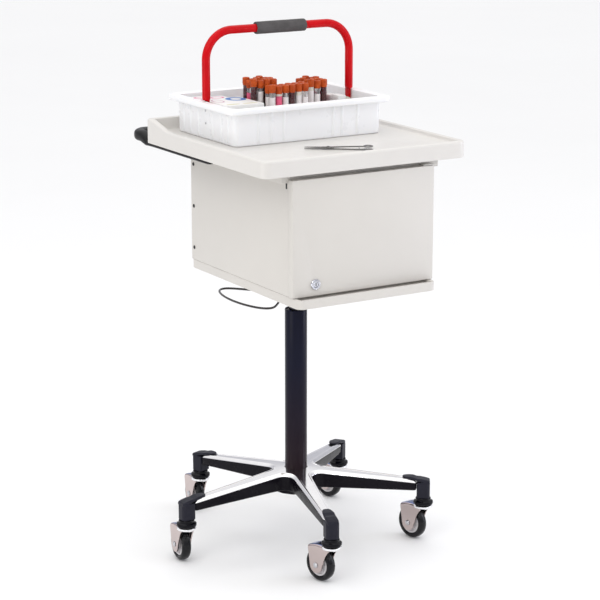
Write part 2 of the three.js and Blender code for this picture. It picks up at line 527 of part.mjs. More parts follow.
// haemostat lying on the worktop in front of the tray
{
  const zf = FLOOR_Z + GAP, L = [39, -229], A = rad(148);
  const place = (g) => g.rotateZ(A).translate(L[0], L[1], 0);
  const ringOutline = (cx, cy, r, hole, z0, z1) => at(ring(hole, r, z0, z1, 16), cx, cy, 0);
  // local +X runs from the finger rings to the jaws; the screw sits at 84
  const blade = (side, z0, z1) => {
    const s = side;
    const shank = prism([[8, s * 9], [20, s * 7.2], [80, -s * 3.2], [84, -s * 4], [90, -s * 4], [132, -s * 0.4], [134, s * 0.8],
      [131, s * 1.4], [84, s * 3.6], [78, s * 3], [20, s * 11.6], [8, s * 14]].map((q) => q), z0, z1);
    const loop = ringOutline(0, s * 12, 11, 7.4, z0, z1);
    return [shank, loop];
  };
  const lower = join(...blade(1, zf, zf + 3));
  const upper = join(...blade(-1, zf + 3.3, zf + 6.3));
  const pin = at(rod(2.2, zf + 0.5, zf + 7.4, 12), 84, 0, 0);
  const hole = at(rod(2.5, zf - 1, zf + 9, 12), 84, 0, 0);
  part('haemostat_lower', place(skin(lower.add(solid(pin)))), M.steel);
  part('haemostat_upper', place(skin(upper.subtract(solid(hole)))), M.steel);
}

// ------------------------------------------------------ origin: bottom centre
group.updateMatrixWorld(true);
const bounds = new THREE.Box3().setFromObject(group, true);
group.position.set(-(bounds.min.x + bounds.max.x) / 2, -(bounds.min.y + bounds.max.y) / 2, -bounds.min.z);
group.updateMatrixWorld(true);

export default group;
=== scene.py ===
import json
import math
import bmesh
import bpy
import numpy as np
from mathutils import Matrix, Vector, noise

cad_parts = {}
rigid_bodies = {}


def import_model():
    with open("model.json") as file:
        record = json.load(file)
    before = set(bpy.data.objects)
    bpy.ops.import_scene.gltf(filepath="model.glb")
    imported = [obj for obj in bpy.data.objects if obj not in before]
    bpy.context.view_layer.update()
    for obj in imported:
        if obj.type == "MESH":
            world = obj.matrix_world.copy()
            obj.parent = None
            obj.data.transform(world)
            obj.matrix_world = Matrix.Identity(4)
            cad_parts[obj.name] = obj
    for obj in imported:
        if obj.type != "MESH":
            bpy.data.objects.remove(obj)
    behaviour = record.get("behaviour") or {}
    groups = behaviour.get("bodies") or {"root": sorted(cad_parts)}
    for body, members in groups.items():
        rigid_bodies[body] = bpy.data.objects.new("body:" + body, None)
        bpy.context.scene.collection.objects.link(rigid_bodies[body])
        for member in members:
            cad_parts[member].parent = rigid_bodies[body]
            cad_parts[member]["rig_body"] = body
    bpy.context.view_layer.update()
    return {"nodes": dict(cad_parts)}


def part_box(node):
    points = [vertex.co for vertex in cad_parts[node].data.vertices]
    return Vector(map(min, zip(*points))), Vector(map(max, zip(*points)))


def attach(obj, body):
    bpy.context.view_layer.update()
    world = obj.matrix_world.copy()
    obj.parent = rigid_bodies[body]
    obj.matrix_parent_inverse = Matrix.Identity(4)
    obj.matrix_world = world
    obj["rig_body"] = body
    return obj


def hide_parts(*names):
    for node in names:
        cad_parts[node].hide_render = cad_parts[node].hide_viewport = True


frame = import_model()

# ----------------------------------------------------------------- datum
# Everything below is written in millimetres around the column's axis, as the
# design is, and moved to the row frame from the column tube's own place.
_lo, _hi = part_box("column_tube")
OX, OY, OZ = (_lo.x + _hi.x) / 2, (_lo.y + _hi.y) / 2, _lo.z - 0.134
def W(p):
    return (OX + p[0] / 1000, OY + p[1] / 1000, OZ + p[2] / 1000)

def rad(d):
    return d * math.pi / 180

def local_box(node):
    lo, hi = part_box(node)
    o = Vector((OX, OY, OZ))
    return (lo - o) * 1000, (hi - o) * 1000

# ------------------------------------------------------------- materials
def socket(node, name, value):
    node.inputs[name].default_value = value

def finish_material(name, color, rough, metal=0.0, var=0.04, var_scale=9.0, rough_var=0.06, rough_scale=40.0,
                    bump=0.04, bump_scale=260.0, bump_dist=0.0004, coat=0.0, coat_rough=0.08, spec=0.5,
                    edge_wear_and_highlight=0.0, edge_wear_and_highlight_color=None, streak=None, color2=None, dust=0.0):
    m = bpy.data.materials.new(name)
    m.use_nodes = True
    nt = m.node_tree
    nt.nodes.clear()
    out = nt.nodes.new("ShaderNodeOutputMaterial")
    b = nt.nodes.new("ShaderNodeBsdfPrincipled")
    nt.links.new(b.outputs[0], out.inputs[0])
    socket(b, "Metallic", metal)
    socket(b, "Specular IOR Level", spec)
    socket(b, "Coat Weight", coat)
    socket(b, "Coat Roughness", coat_rough)
    tc = nt.nodes.new("ShaderNodeTexCoord")
    mp = nt.nodes.new("ShaderNodeMapping")
    nt.links.new(tc.outputs["Object"], mp.inputs[0])
    if streak:
        mp.inputs["Scale"].default_value = streak
    # cloudy variation of the colour
    n1 = nt.nodes.new("ShaderNodeTexNoise")
    socket(n1, "Scale", var_scale); socket(n1, "Detail", 4.0); socket(n1, "Roughness", 0.6)
    nt.links.new(mp.outputs[0], n1.inputs["Vector"])
    r1 = nt.nodes.new("ShaderNodeValToRGB")
    c2 = color2 or [min(c * (1 + var), 1) for c in color]
    r1.color_ramp.elements[0].position, r1.color_ramp.elements[1].position = 0.3, 0.7
    r1.color_ramp.elements[0].color = (*[c * (1 - var) for c in color], 1)
    r1.color_ramp.elements[1].color = (*c2, 1)
    nt.links.new(n1.outputs["Fac"], r1.inputs[0])
    col = r1.outputs[0]
    # convex edges lightened by pointiness: a painted edge highlight, partly also scuffed wear
    if edge_wear_and_highlight > 0:
        g = nt.nodes.new("ShaderNodeNewGeometry")
        wr = nt.nodes.new("ShaderNodeValToRGB")
        wr.color_ramp.elements[0].position, wr.color_ramp.elements[1].position = 0.53, 0.6
        nt.links.new(g.outputs["Pointiness"], wr.inputs[0])
        mul = nt.nodes.new("ShaderNodeMath"); mul.operation = "MULTIPLY"
        mul.inputs[1].default_value = edge_wear_and_highlight
        nt.links.new(wr.outputs[0], mul.inputs[0])
        mx = nt.nodes.new("ShaderNodeMix"); mx.data_type = "RGBA"
        nt.links.new(mul.outputs[0], mx.inputs[0])
        nt.links.new(col, mx.inputs[6])
        mx.inputs[7].default_value = (*(edge_wear_and_highlight_color or [min(1, c * 1.5 + 0.03) for c in color]), 1)
        col = mx.outputs[2]
    if dust > 0:
        nd = nt.nodes.new("ShaderNodeTexNoise")
        socket(nd, "Scale", 420.0); socket(nd, "Detail", 2.0)
        nt.links.new(tc.outputs["Object"], nd.inputs["Vector"])
        rd = nt.nodes.new("ShaderNodeValToRGB")
        rd.color_ramp.elements[0].position, rd.color_ramp.elements[1].position = 0.62, 0.74
        nt.links.new(nd.outputs["Fac"], rd.inputs[0])
        md = nt.nodes.new("ShaderNodeMath"); md.operation = "MULTIPLY"; md.inputs[1].default_value = dust
        nt.links.new(rd.outputs[0], md.inputs[0])
        mx = nt.nodes.new("ShaderNodeMix"); mx.data_type = "RGBA"
        nt.links.new(md.outputs[0], mx.inputs[0])
        nt.links.new(col, mx.inputs[6])
        mx.inputs[7].default_value = (*[c * 0.72 for c in color], 1)
        col = mx.outputs[2]
    nt.links.new(col, b.inputs["Base Color"])
    # roughness breaks up at a smaller scale
    n2 = nt.nodes.new("ShaderNodeTexNoise")
    socket(n2, "Scale", rough_scale); socket(n2, "Detail", 5.0)
    nt.links.new(mp.outputs[0], n2.inputs["Vector"])
    mr = nt.nodes.new("ShaderNodeMapRange")
    socket(mr, "To Min", max(rough - rough_var, 0.02)); socket(mr, "To Max", min(rough + rough_var, 1.0))
    socket(mr, "From Min", 0.3); socket(mr, "From Max", 0.7)
    nt.links.new(n2.outputs["Fac"], mr.inputs["Value"])
    nt.links.new(mr.outputs[0], b.inputs["Roughness"])
    # surface texture
    n3 = nt.nodes.new("ShaderNodeTexNoise")
    socket(n3, "Scale", bump_scale); socket(n3, "Detail", 3.0)
    nt.links.new(mp.outputs[0], n3.inputs["Vector"])
    bp = nt.nodes.new("ShaderNodeBump")
    socket(bp, "Strength", bump); socket(bp, "Distance", bump_dist)
    nt.links.new(n3.outputs["Fac"], bp.inputs["Height"])
    nt.links.new(bp.outputs[0], b.inputs["Normal"])
    m.diffuse_color = (*color, 1)
    return m

def parts_of(m):
    """(node tree, principled shader, base colour source) of a material made above"""
    nt = m.node_tree
    b = next(n for n in nt.nodes if n.type == "BSDF_PRINCIPLED")
    return nt, b, b.inputs["Base Color"].links[0].from_socket

M = {}
M["laminate"] = finish_material("laminate_white", (0.645, 0.620, 0.580), 0.42, var=0.018, var_scale=5, rough_var=0.05, bump=0.12, bump_scale=900, bump_dist=0.00012, spec=0.4, dust=0.05)
M["laminate_edge"] = finish_material("laminate_edge", (0.63, 0.615, 0.585), 0.46, var=0.03, var_scale=30, bump=0.1, bump_scale=500, bump_dist=0.0001)
M["worktop"] = finish_material("worktop_abs", (0.69, 0.668, 0.635), 0.36, var=0.02, var_scale=4, rough_var=0.06, bump=0.3, bump_scale=700, bump_dist=0.00018, coat=0.12, coat_rough=0.3, edge_wear_and_highlight=0.15)
M["tray"] = finish_material("tray_hdpe", (0.88, 0.885, 0.895), 0.32, var=0.015, var_scale=6, rough_var=0.07, bump=0.15, bump_scale=350, bump_dist=0.0002, coat=0.1, coat_rough=0.25, dust=0.03)
nt, b, _ = parts_of(M["tray"])
socket(b, "Subsurface Weight", 0.12); socket(b, "Subsurface Radius", (0.02, 0.018, 0.016)); socket(b, "Subsurface Scale", 0.2)
M["red"] = finish_material("handle_red_enamel", (0.55, 0.002, 0.006), 0.18, var=0.1, var_scale=20, rough_var=0.05, bump=0.1, bump_scale=180, bump_dist=0.00025, spec=0.14)
M["foam"] = finish_material("grip_foam", (0.088, 0.083, 0.083), 0.9, var=0.16, var_scale=60, rough_var=0.06, bump=0.6, bump_scale=900, bump_dist=0.0006, spec=0.25)
M["black_plastic"] = finish_material("cap_moulded_black", (0.016, 0.016, 0.025), 0.42, var=0.12, var_scale=30, rough_var=0.08, bump=0.35, bump_scale=800, bump_dist=0.00022, edge_wear_and_highlight=0.12, spec=0.15)
M["handle_black"] = finish_material("push_handle_black", (0.010, 0.010, 0.011), 0.36, var=0.14, var_scale=25, rough_var=0.08, bump=0.4, bump_scale=750, bump_dist=0.00025, edge_wear_and_highlight=0.1, spec=0.2)
M["gloss_black"] = finish_material("collar_gloss_black", (0.002, 0.002, 0.004), 0.07, var=0.2, rough_var=0.02, bump=0.03, bump_scale=200, spec=0.16)
M["column"] = finish_material("column_black_enamel_painted_reflection", (0.006, 0.006, 0.014), 0.13, var=0.1, rough_var=0.04, rough_scale=25, bump=0.08, bump_scale=160, bump_dist=0.0002, spec=0.12, color2=(0.008, 0.008, 0.018))
M["star_side"] = finish_material("star_black_enamel", (0.006, 0.005, 0.008), 0.24, var=0.2, rough_var=0.06, bump=0.25, bump_scale=140, bump_dist=0.0003, spec=0.1)
M["polished"] = finish_material("star_polished_aluminium", (0.90, 0.89, 0.89), 0.10, metal=1.0, var=0.04, var_scale=22, rough_var=0.05, rough_scale=30, bump=0.06, bump_scale=60, bump_dist=0.0004, streak=(1, 1, 1))
# blue on the top of the fork hoods: a painted reflection
M["hood"] = finish_material("fork_hood_painted_blue_reflection", (0.13, 0.17, 0.34), 0.1, metal=1.0, var=0.1, rough_var=0.04, bump=0.05, bump_scale=90, bump_dist=0.0003)
M["lockset"] = finish_material("lock_nickel", (0.62, 0.63, 0.68), 0.1, metal=1.0, var=0.03, rough_var=0.04, bump=0.05, bump_scale=90, bump_dist=0.0003)
M["race"] = finish_material("fork_raceway_bright", (0.88, 0.88, 0.90), 0.12, metal=1.0, var=0.03, rough_var=0.04, bump=0.05, bump_scale=90, bump_dist=0.0003)
# the warm pink tint of the fork chrome is a painted reflection
M["chrome"] = finish_material("fork_chrome", (0.56, 0.475, 0.46), 0.08, metal=1.0, var=0.03, rough_var=0.04, rough_scale=30, bump=0.05, bump_scale=90, bump_dist=0.0003)
M["steel"] = finish_material("clamp_stainless", (0.22, 0.215, 0.21), 0.14, metal=1.0, var=0.05, var_scale=80, rough_var=0.08, rough_scale=120, bump=0.15, bump_scale=1400, bump_dist=0.00008)
M["zinc"] = finish_material("axle_zinc", (0.58, 0.58, 0.60), 0.3, metal=1.0, var=0.1, var_scale=120, rough_var=0.1, bump=0.2, bump_scale=700, bump_dist=0.0001)
M["hinge_paint"] = finish_material("hinge_cream_paint", (0.64, 0.62, 0.585), 0.35, var=0.04, bump=0.2, bump_scale=500, bump_dist=0.0002)
M["core"] = finish_material("wheel_core_grey", (0.66, 0.64, 0.65), 0.4, var=0.06, var_scale=40, rough_var=0.08, bump=0.3, bump_scale=600, bump_dist=0.0002, edge_wear_and_highlight=0.15)
M["rubber"] = finish_material("tyre_black_rubber", (0.0045, 0.0045, 0.006), 0.22, var=0.25, var_scale=50, rough_var=0.12, bump=0.35, bump_scale=500, bump_dist=0.0003, dust=0.0, spec=0.26)
M["bush"] = finish_material("bush_nylon_black", (0.015, 0.015, 0.018), 0.35, var=0.15, bump=0.3, bump_scale=600, bump_dist=0.0002)
M["inner"] = finish_material("inner_tube_dark", (0.05, 0.05, 0.06), 0.16, metal=0.9, var=0.1, bump=0.05, bump_scale=90)
M["plate"] = finish_material("plate_black_powder", (0.02, 0.02, 0.023), 0.5, var=0.12, bump=0.6, bump_scale=900, bump_dist=0.0003)
M["wire"] = finish_material("lever_wire_black", (0.016, 0.012, 0.011), 0.14, metal=0.0, var=0.2, var_scale=60, bump=0.1, bump_scale=200, spec=0.6)
# black of the screws, also used as painted shade on the panel's front gap
M["dark"] = finish_material("fastener_black_and_painted_gap_shade", (0.008, 0.008, 0.009), 0.4, var=0.2, bump=0.3, bump_scale=800)
M["hole"] = finish_material("key_slot_painted_shade", (0.004, 0.004, 0.004), 0.7, var=0.3, bump=0.2, bump_scale=500)
M["cap"] = finish_material("tube_cap_rust", (0.50, 0.065, 0.010), 0.34, var=0.22, var_scale=90, rough_var=0.1, bump=0.2, bump_scale=800, bump_dist=0.0001, color2=(0.62, 0.11, 0.018), spec=0.2, coat=0.0, coat_rough=0.2)
M["label"] = finish_material("tube_label_paper", (0.80, 0.76, 0.75), 0.55, var=0.05, var_scale=100, bump=0.15, bump_scale=900)
M["pink"] = finish_material("tube_label_pink", (0.72, 0.10, 0.20), 0.5, var=0.15, var_scale=100, bump=0.15, bump_scale=900)
M["grey_pack"] = finish_material("packet_grey_green", (0.42, 0.44, 0.38), 0.5, var=0.25, var_scale=60, bump=0.3, bump_scale=400, bump_dist=0.0003)
M["serum"] = finish_material("tube_fill_dark_red", (0.055, 0.004, 0.006), 0.12, var=0.3, var_scale=80, bump=0.03, coat=0.8, coat_rough=0.04)
M["paper"] = finish_material("carton_white", (0.76, 0.75, 0.74), 0.55, var=0.03, var_scale=25, bump=0.25, bump_scale=900, bump_dist=0.0001)
M["cream"] = finish_material("carton_cream", (0.70, 0.67, 0.58), 0.55, var=0.05, var_scale=25, bump=0.25, bump_scale=900, bump_dist=0.0001)

def glassy(name, color, rough=0.08, alpha=0.35):
    m = finish_material(name, color, rough, var=0.05, rough_var=0.03, bump=0.04, bump_scale=300, coat=0.5, coat_rough=0.05)
    nt, b, _ = parts_of(m)
    socket(b, "Transmission Weight", 0.85); socket(b, "IOR", 1.46)
    return m
M["tube_glass"] = glassy("tube_clear", (0.93, 0.94, 0.94))

# column: a painted reflection in the base colour, blue black at the top turning to brown black low down, over black
# enamel
def z_gradient_painted_reflection(m, low, high, z0, z1, amount=0.8):
    nt, b, col = parts_of(m)
    tc = nt.nodes.new("ShaderNodeTexCoord")
    sx = nt.nodes.new("ShaderNodeSeparateXYZ")
    nt.links.new(tc.outputs["Object"], sx.inputs[0])
    mr = nt.nodes.new("ShaderNodeMapRange")
    socket(mr, "From Min", z0); socket(mr, "From Max", z1)
    nt.links.new(sx.outputs["Z"], mr.inputs["Value"])
    rp = nt.nodes.new("ShaderNodeValToRGB")
    rp.color_ramp.elements[0].color = (*low, 1); rp.color_ramp.elements[1].color = (*high, 1)
    nt.links.new(mr.outputs[0], rp.inputs[0])
    mx = nt.nodes.new("ShaderNodeMix"); mx.data_type = "RGBA"; mx.blend_type = "MIX"
    mx.inputs[0].default_value = amount
    nt.links.new(col, mx.inputs[6]); nt.links.new(rp.outputs[0], mx.inputs[7])
    nt.links.new(mx.outputs[2], b.inputs["Base Color"])
z_gradient_painted_reflection(M["column"], (0.020, 0.009, 0.010), (0.005, 0.006, 0.020), 0.15, 0.42)

# --------------------------------------------------------------- builders
ALL = []
def piece(name, verts, faces, body, mats, face_mat=None, replaces=(), slot=None, sharp=35.0, bevel=None, bevel_seg=2, merge=True, shade=True):
    """verts in millimetres in the design's own frame"""
    me = bpy.data.meshes.new(name)
    me.from_pydata([W(v) for v in verts], [], [list(f) for f in faces])
    if face_mat is not None:
        me.polygons.foreach_set("material_index", np.asarray(face_mat, dtype=np.int32))
    bm = bmesh.new(); bm.from_mesh(me)
    if merge:
        bmesh.ops.remove_doubles(bm, verts=bm.verts, dist=2e-6)
    bmesh.ops.recalc_face_normals(bm, faces=bm.faces)
    finish_bmesh(bm, me, sharp, bevel, bevel_seg, shade)
    return register(name, me, body, mats, replaces)

def finish_bmesh(bm, me, sharp, bevel=None, bevel_seg=2, shade=True):
    if bevel:
        es = [e for e in bm.edges if len(e.link_faces) == 2 and e.calc_face_angle(0) > rad(28)]
        if es:
            bmesh.ops.bevel(bm, geom=es, offset=bevel / 1000, offset_type="OFFSET", segments=bevel_seg, profile=0.5,
                            affect="EDGES", clamp_overlap=True)
    for f in bm.faces:
        f.smooth = shade
    for e in bm.edges:
        e.smooth = not (len(e.link_faces) == 2 and e.calc_face_angle(0) > rad(sharp))
    bm.to_mesh(me); bm.free()
    me.update()

def register(name, me, body, mats, replaces=()):
    o = bpy.data.objects.new(name, me)
    bpy.context.scene.collection.objects.link(o)
    for m in (mats if isinstance(mats, (list, tuple)) else [mats]):
        me.materials.append(m)
    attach(o, body)
    if replaces:
        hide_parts(*([replaces] if isinstance(replaces, str) else replaces))
    ALL.append(o)
    return o

class Geo:
    """collects vertices, faces and a material index for each face"""
    def __init__(self):
        self.v, self.f, self.m = [], [], []
    def add(self, verts, faces, mat=0, place=None):
        n = len(self.v)
        self.v += [tuple(place(p)) if place else tuple(p) for p in verts]
        self.f += [[i + n for i in f] for f in faces]
        self.m += [mat] * len(faces) if isinstance(mat, int) else list(mat)
        return self
    def make(self, name, body, mats, **kw):
        return piece(name, self.v, self.f, body, mats, face_mat=self.m, **kw)

def smooth_profile(points, r=1.0, n=3, closed=False):
    """rounds the corners of a polyline of (a, b) or (a, b, radius) points"""
    out, m = [], len(points)
    for i, q in enumerate(points):
        rr = q[2] if len(q) > 2 else r
        if (not closed and i in (0, m - 1)) or rr <= 0:
            out.append((q[0], q[1])); continue
        p, s = points[(i - 1) % m], points[(i + 1) % m]
        a, c, b = Vector(p[:2]), Vector(q[:2]), Vector(s[:2])
        d1, d2 = (a - c), (b - c)
        l1, l2 = d1.length, d2.length
        if l1 < 1e-6 or l2 < 1e-6:
            out.append((q[0], q[1])); continue
        d1 /= l1; d2 /= l2
        ang = d1.angle(d2)
        if ang > rad(174):
            out.append((q[0], q[1])); continue
        t = min(rr / math.tan(ang / 2), 0.45 * l1, 0.45 * l2)
        s0, s1 = c + d1 * t, c + d2 * t
        for k in range(n + 1):
            w = k / n
            pt = s0 * (1 - w) ** 2 + c * 2 * w * (1 - w) + s1 * w ** 2
            out.append((pt.x, pt.y))
    return out

def lathe(profile, seg=48, place=None, phase=0.0, flute=None):
    """profile of (radius, z), closed on itself unless it starts and ends on the axis"""
    verts, rows = [], []
    for r, z in profile:
        if r < 1e-6:
            verts.append((0, 0, z)); rows.append((True, len(verts) - 1)); continue
        rows.append((False, len(verts)))
        for j in range(seg):
            w = 2 * math.pi * (j + phase) / seg
            rr = r + (flute(j, r, z) if flute else 0)
            verts.append((rr * math.cos(w), rr * math.sin(w), z))
    faces, m = [], len(rows)
    opened = rows[0][0] and rows[-1][0]
    for i in range(m - 1 if opened else m):
        (ax, a), (bx, b) = rows[i], rows[(i + 1) % m]
        for j in range(seg):
            k = (j + 1) % seg
            if ax and bx:
                continue
            if ax:
                faces.append([a, b + j, b + k])
            elif bx:
                faces.append([a + j, b, a + k])
            else:
                faces.append([a + j, b + j, b + k, a + k])
    if place:
        verts = [tuple(place(p)) for p in verts]
    return verts, faces

def loft(rings, closed=False, caps=True):
    n, m = len(rings[0]), len(rings)
    verts = [tuple(p) for r in rings for p in r]
    faces = []
    for i in range(m if closed else m - 1):
        a, b = i * n, ((i + 1) % m) * n
        for j in range(n):
            k = (j + 1) % n
            faces.append([a + j, a + k, b + k, b + j])
    if not closed and caps:
        faces.append(list(range(n))[::-1])
        faces.append([(m - 1) * n + j for j in range(n)])
    return verts, faces

def catmull(points, per=6, closed=False):
    P = [Vector(p) for p in points]
    m, out = len(P), []
    for i in range(m if closed else m - 1):
        p0 = P[(i - 1) % m] if closed or i > 0 else P[0] * 2 - P[1]
        p1, p2 = P[i], P[(i + 1) % m]
        p3 = P[(i + 2) % m] if closed or i + 2 < m else P[-1] * 2 - P[-2]
        for k in range(per):
            t = k / per
            out.append(0.5 * ((2 * p1) + (p2 - p0) * t + (2 * p0 - 5 * p1 + 4 * p2 - p3) * t * t + (3 * p1 - p0 - 3 * p2 + p3) * t ** 3))
    if not closed:
        out.append(P[-1])
    return out

def sweep(points, rx, ry=None, sides=16, closed=False, up=(0, 0, 1), power=2.0):
    P = [Vector(p) for p in points]
    U = Vector(up)
    m = len(P)
    rx = rx if isinstance(rx, (list, tuple)) else [rx] * m
    ry = (ry if isinstance(ry, (list, tuple)) else [ry] * m) if ry is not None else rx
    rings = []
    for i in range(m):
        a = P[(i - 1) % m] if closed else P[max(i - 1, 0)]
        b = P[(i + 1) % m] if closed else P[min(i + 1, m - 1)]
        t = (b - a).normalized()
        s = t.cross(U).normalized()
        bn = s.cross(t).normalized()
        ring = []
        for j in range(sides):
            w = 2 * math.pi * (j + 0.5) / sides
            c, d = math.cos(w), math.sin(w)
            k = (abs(c) ** power + abs(d) ** power) ** (-1 / power)
            ring.append(P[i] + s * (rx[i] * c * k) + bn * (ry[i] * d * k))
        rings.append(ring)
    return loft(rings, closed)

def rounded(x0, x1, y0, y1, r, n=6):
    R = list(r) if isinstance(r, (list, tuple)) else [r] * 4
    cs = [(x0, y0, 1, 1, 180), (x1, y0, -1, 1, 270), (x1, y1, -1, -1, 0), (x0, y1, 1, -1, 90)]
    out = []
    for i, (x, y, sx, sy, a0) in enumerate(cs):
        q = max(R[i], 0.01)
        for k in range(n + 1):
            w = rad(a0 + 90 * k / n)
            out.append((x + sx * q + q * math.cos(w), y + sy * q + q * math.sin(w)))
    return out

def densify(ring, step):
    """extra points along the straight runs of an outline"""
    out, m = [], len(ring)
    for i in range(m):
        a, b = Vector(ring[i]), Vector(ring[(i + 1) % m])
        k = max(1, int(round((b - a).length / step)))
        for j in range(k):
            out.append(tuple(a.lerp(b, j / k)))
    return out

def from_node(name, node, mats, body=None, bevel=0.6, seg=2, sharp=35, extra=None):
    """the CAD node's own shape with its flat faces whole and its edges rounded"""
    src = frame["nodes"][node]
    bm = bmesh.new(); bm.from_mesh(src.data)
    bmesh.ops.remove_doubles(bm, verts=bm.verts, dist=1e-6)
    bmesh.ops.dissolve_limit(bm, angle_limit=rad(1.0), verts=bm.verts, edges=bm.edges)
    if extra:
        extra(bm)
    me = bpy.data.meshes.new(name)
    finish_bmesh(bm, me, sharp, bevel, seg)
    return register(name, me, body or src["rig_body"], mats, node)

def fillet_remesh(name, node, mats, voxel, iters=4, slot=None, keep=None):
    """a moulded copy of a CAD node: remeshed finely and relaxed, so that its corners are round"""
    src = frame["nodes"][node]
    tmp = bpy.data.objects.new("tmp_" + name, src.data.copy())
    bpy.context.scene.collection.objects.link(tmp)
    r = tmp.modifiers.new("r", "REMESH"); r.mode = "VOXEL"; r.voxel_size = voxel / 1000; r.use_smooth_shade = True
    s = tmp.modifiers.new("s", "SMOOTH"); s.factor = 0.5; s.iterations = iters
    dg = bpy.context.evaluated_depsgraph_get()
    me = bpy.data.meshes.new_from_object(tmp.evaluated_get(dg))
    me.name = name
    bpy.data.objects.remove(tmp)
    me.materials.clear()
    me.polygons.foreach_set("use_smooth", [True] * len(me.polygons))
    return register(name, me, src["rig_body"], mats, node)

def turn_place(origin, angle=0.0, axis="z"):
    """places a local shape: lathe axis along z, x or -y, then turned about Z and moved"""
    c, s = math.cos(angle), math.sin(angle)
    def f(p):
        x, y, z = p
        if axis == "x":
            x, y, z = z, x, y
        elif axis == "-y":
            x, y, z = x, -z, y
        return (origin[0] + c * x - s * y, origin[1] + s * x + c * y, origin[2] + z)
    return f

# ------------------------------------------------------------------ camera
CAMERA = (-2336.6, -3883.2, 1705.0)
cam_data = bpy.data.cameras.new("camera")
cam = bpy.data.objects.new("camera", cam_data)
bpy.context.scene.collection.objects.link(cam)
cam.location = W(CAMERA)
cam.rotation_euler = (rad(90 - 14.1), 0, rad(-31.15))
cam_data.lens = 126.3
cam_data.sensor_width = 36
cam_data.clip_end = 50
bpy.context.scene.camera = cam

# --------------------------------------------------------------- star base
STEM_R = 288.5
LEGS = {1: -33.7, 2: 38.3, 3: 110.3, 4: 182.3, 5: 254.3}
TRAIL_DIR = {1: 12, 2: 15, 3: -3.5, 4: -5, 5: 13.5}
LEG_END, HUB_Z, END_Z, HW0, HW1 = 273.0, 183.0, 153.0, 24.0, 13.5
def z_top(r):
    return HUB_Z + (END_Z - HUB_Z) * min(r, 290) / LEG_END
def z_low(r):
    return 138 + (128 - 138) * min(r, 290) / LEG_END

def star_outline(inset, n_arc=9, n_edge=9, rho=26.0, r_tip=5.0):
    """outline of the five legs; every inset gives the same number of points"""
    d = Vector((LEG_END, HW1 - HW0)).normalized()
    nrm = Vector((-d.y, d.x))
    h = nrm.y * HW0 - inset                       # distance of the edge from the axis line's origin
    b = Vector((math.cos(rad(36)), math.sin(rad(36))))
    full_h = nrm.y * HW0
    c = b * ((rho + full_h) / b.dot(nrm))
    rr = rho + inset
    tangent = c - nrm * rr
    a0 = math.atan2(-b.y, -b.x); a1 = math.atan2(-nrm.y, -nrm.x)
    if a1 < a0: a1 += 0
    upper = []
    for k in range(n_arc):
        a = a0 + (a1 - a0) * k / (n_arc - 1)
        upper.append(Vector((c.x + rr * math.cos(a), c.y + rr * math.sin(a))))
    x_end, rt = LEG_END - inset, max(r_tip - inset * 0.5, 1.2)
    y_at = lambda x: (h - nrm.x * x) / nrm.y
    x_stop = x_end - rt
    for k in range(1, n_edge + 1):
        x = tangent.x + (x_stop - tangent.x) * k / n_edge
        upper.append(Vector((x, y_at(x))))
    ye = y_at(x_stop)
    for k in range(1, 4):
        w = rad(90 * k / 3)
        upper.append(Vector((x_stop + rt * math.sin(w), ye - rt + rt * math.cos(w))))
    half = upper                                   # from the bisector to the tip corner
    leg = [Vector((p.x, -p.y)) for p in half] + [p for p in reversed(half)]
    leg = leg[:-1]                                 # the next leg starts on that bisector point
    out = []
    for k in (1, 2, 3, 4, 5):
        a = rad(LEGS[k]); ca, sa = math.cos(a), math.sin(a)
        out += [(p.x * ca - p.y * sa, p.x * sa + p.y * ca) for p in leg]
    return out

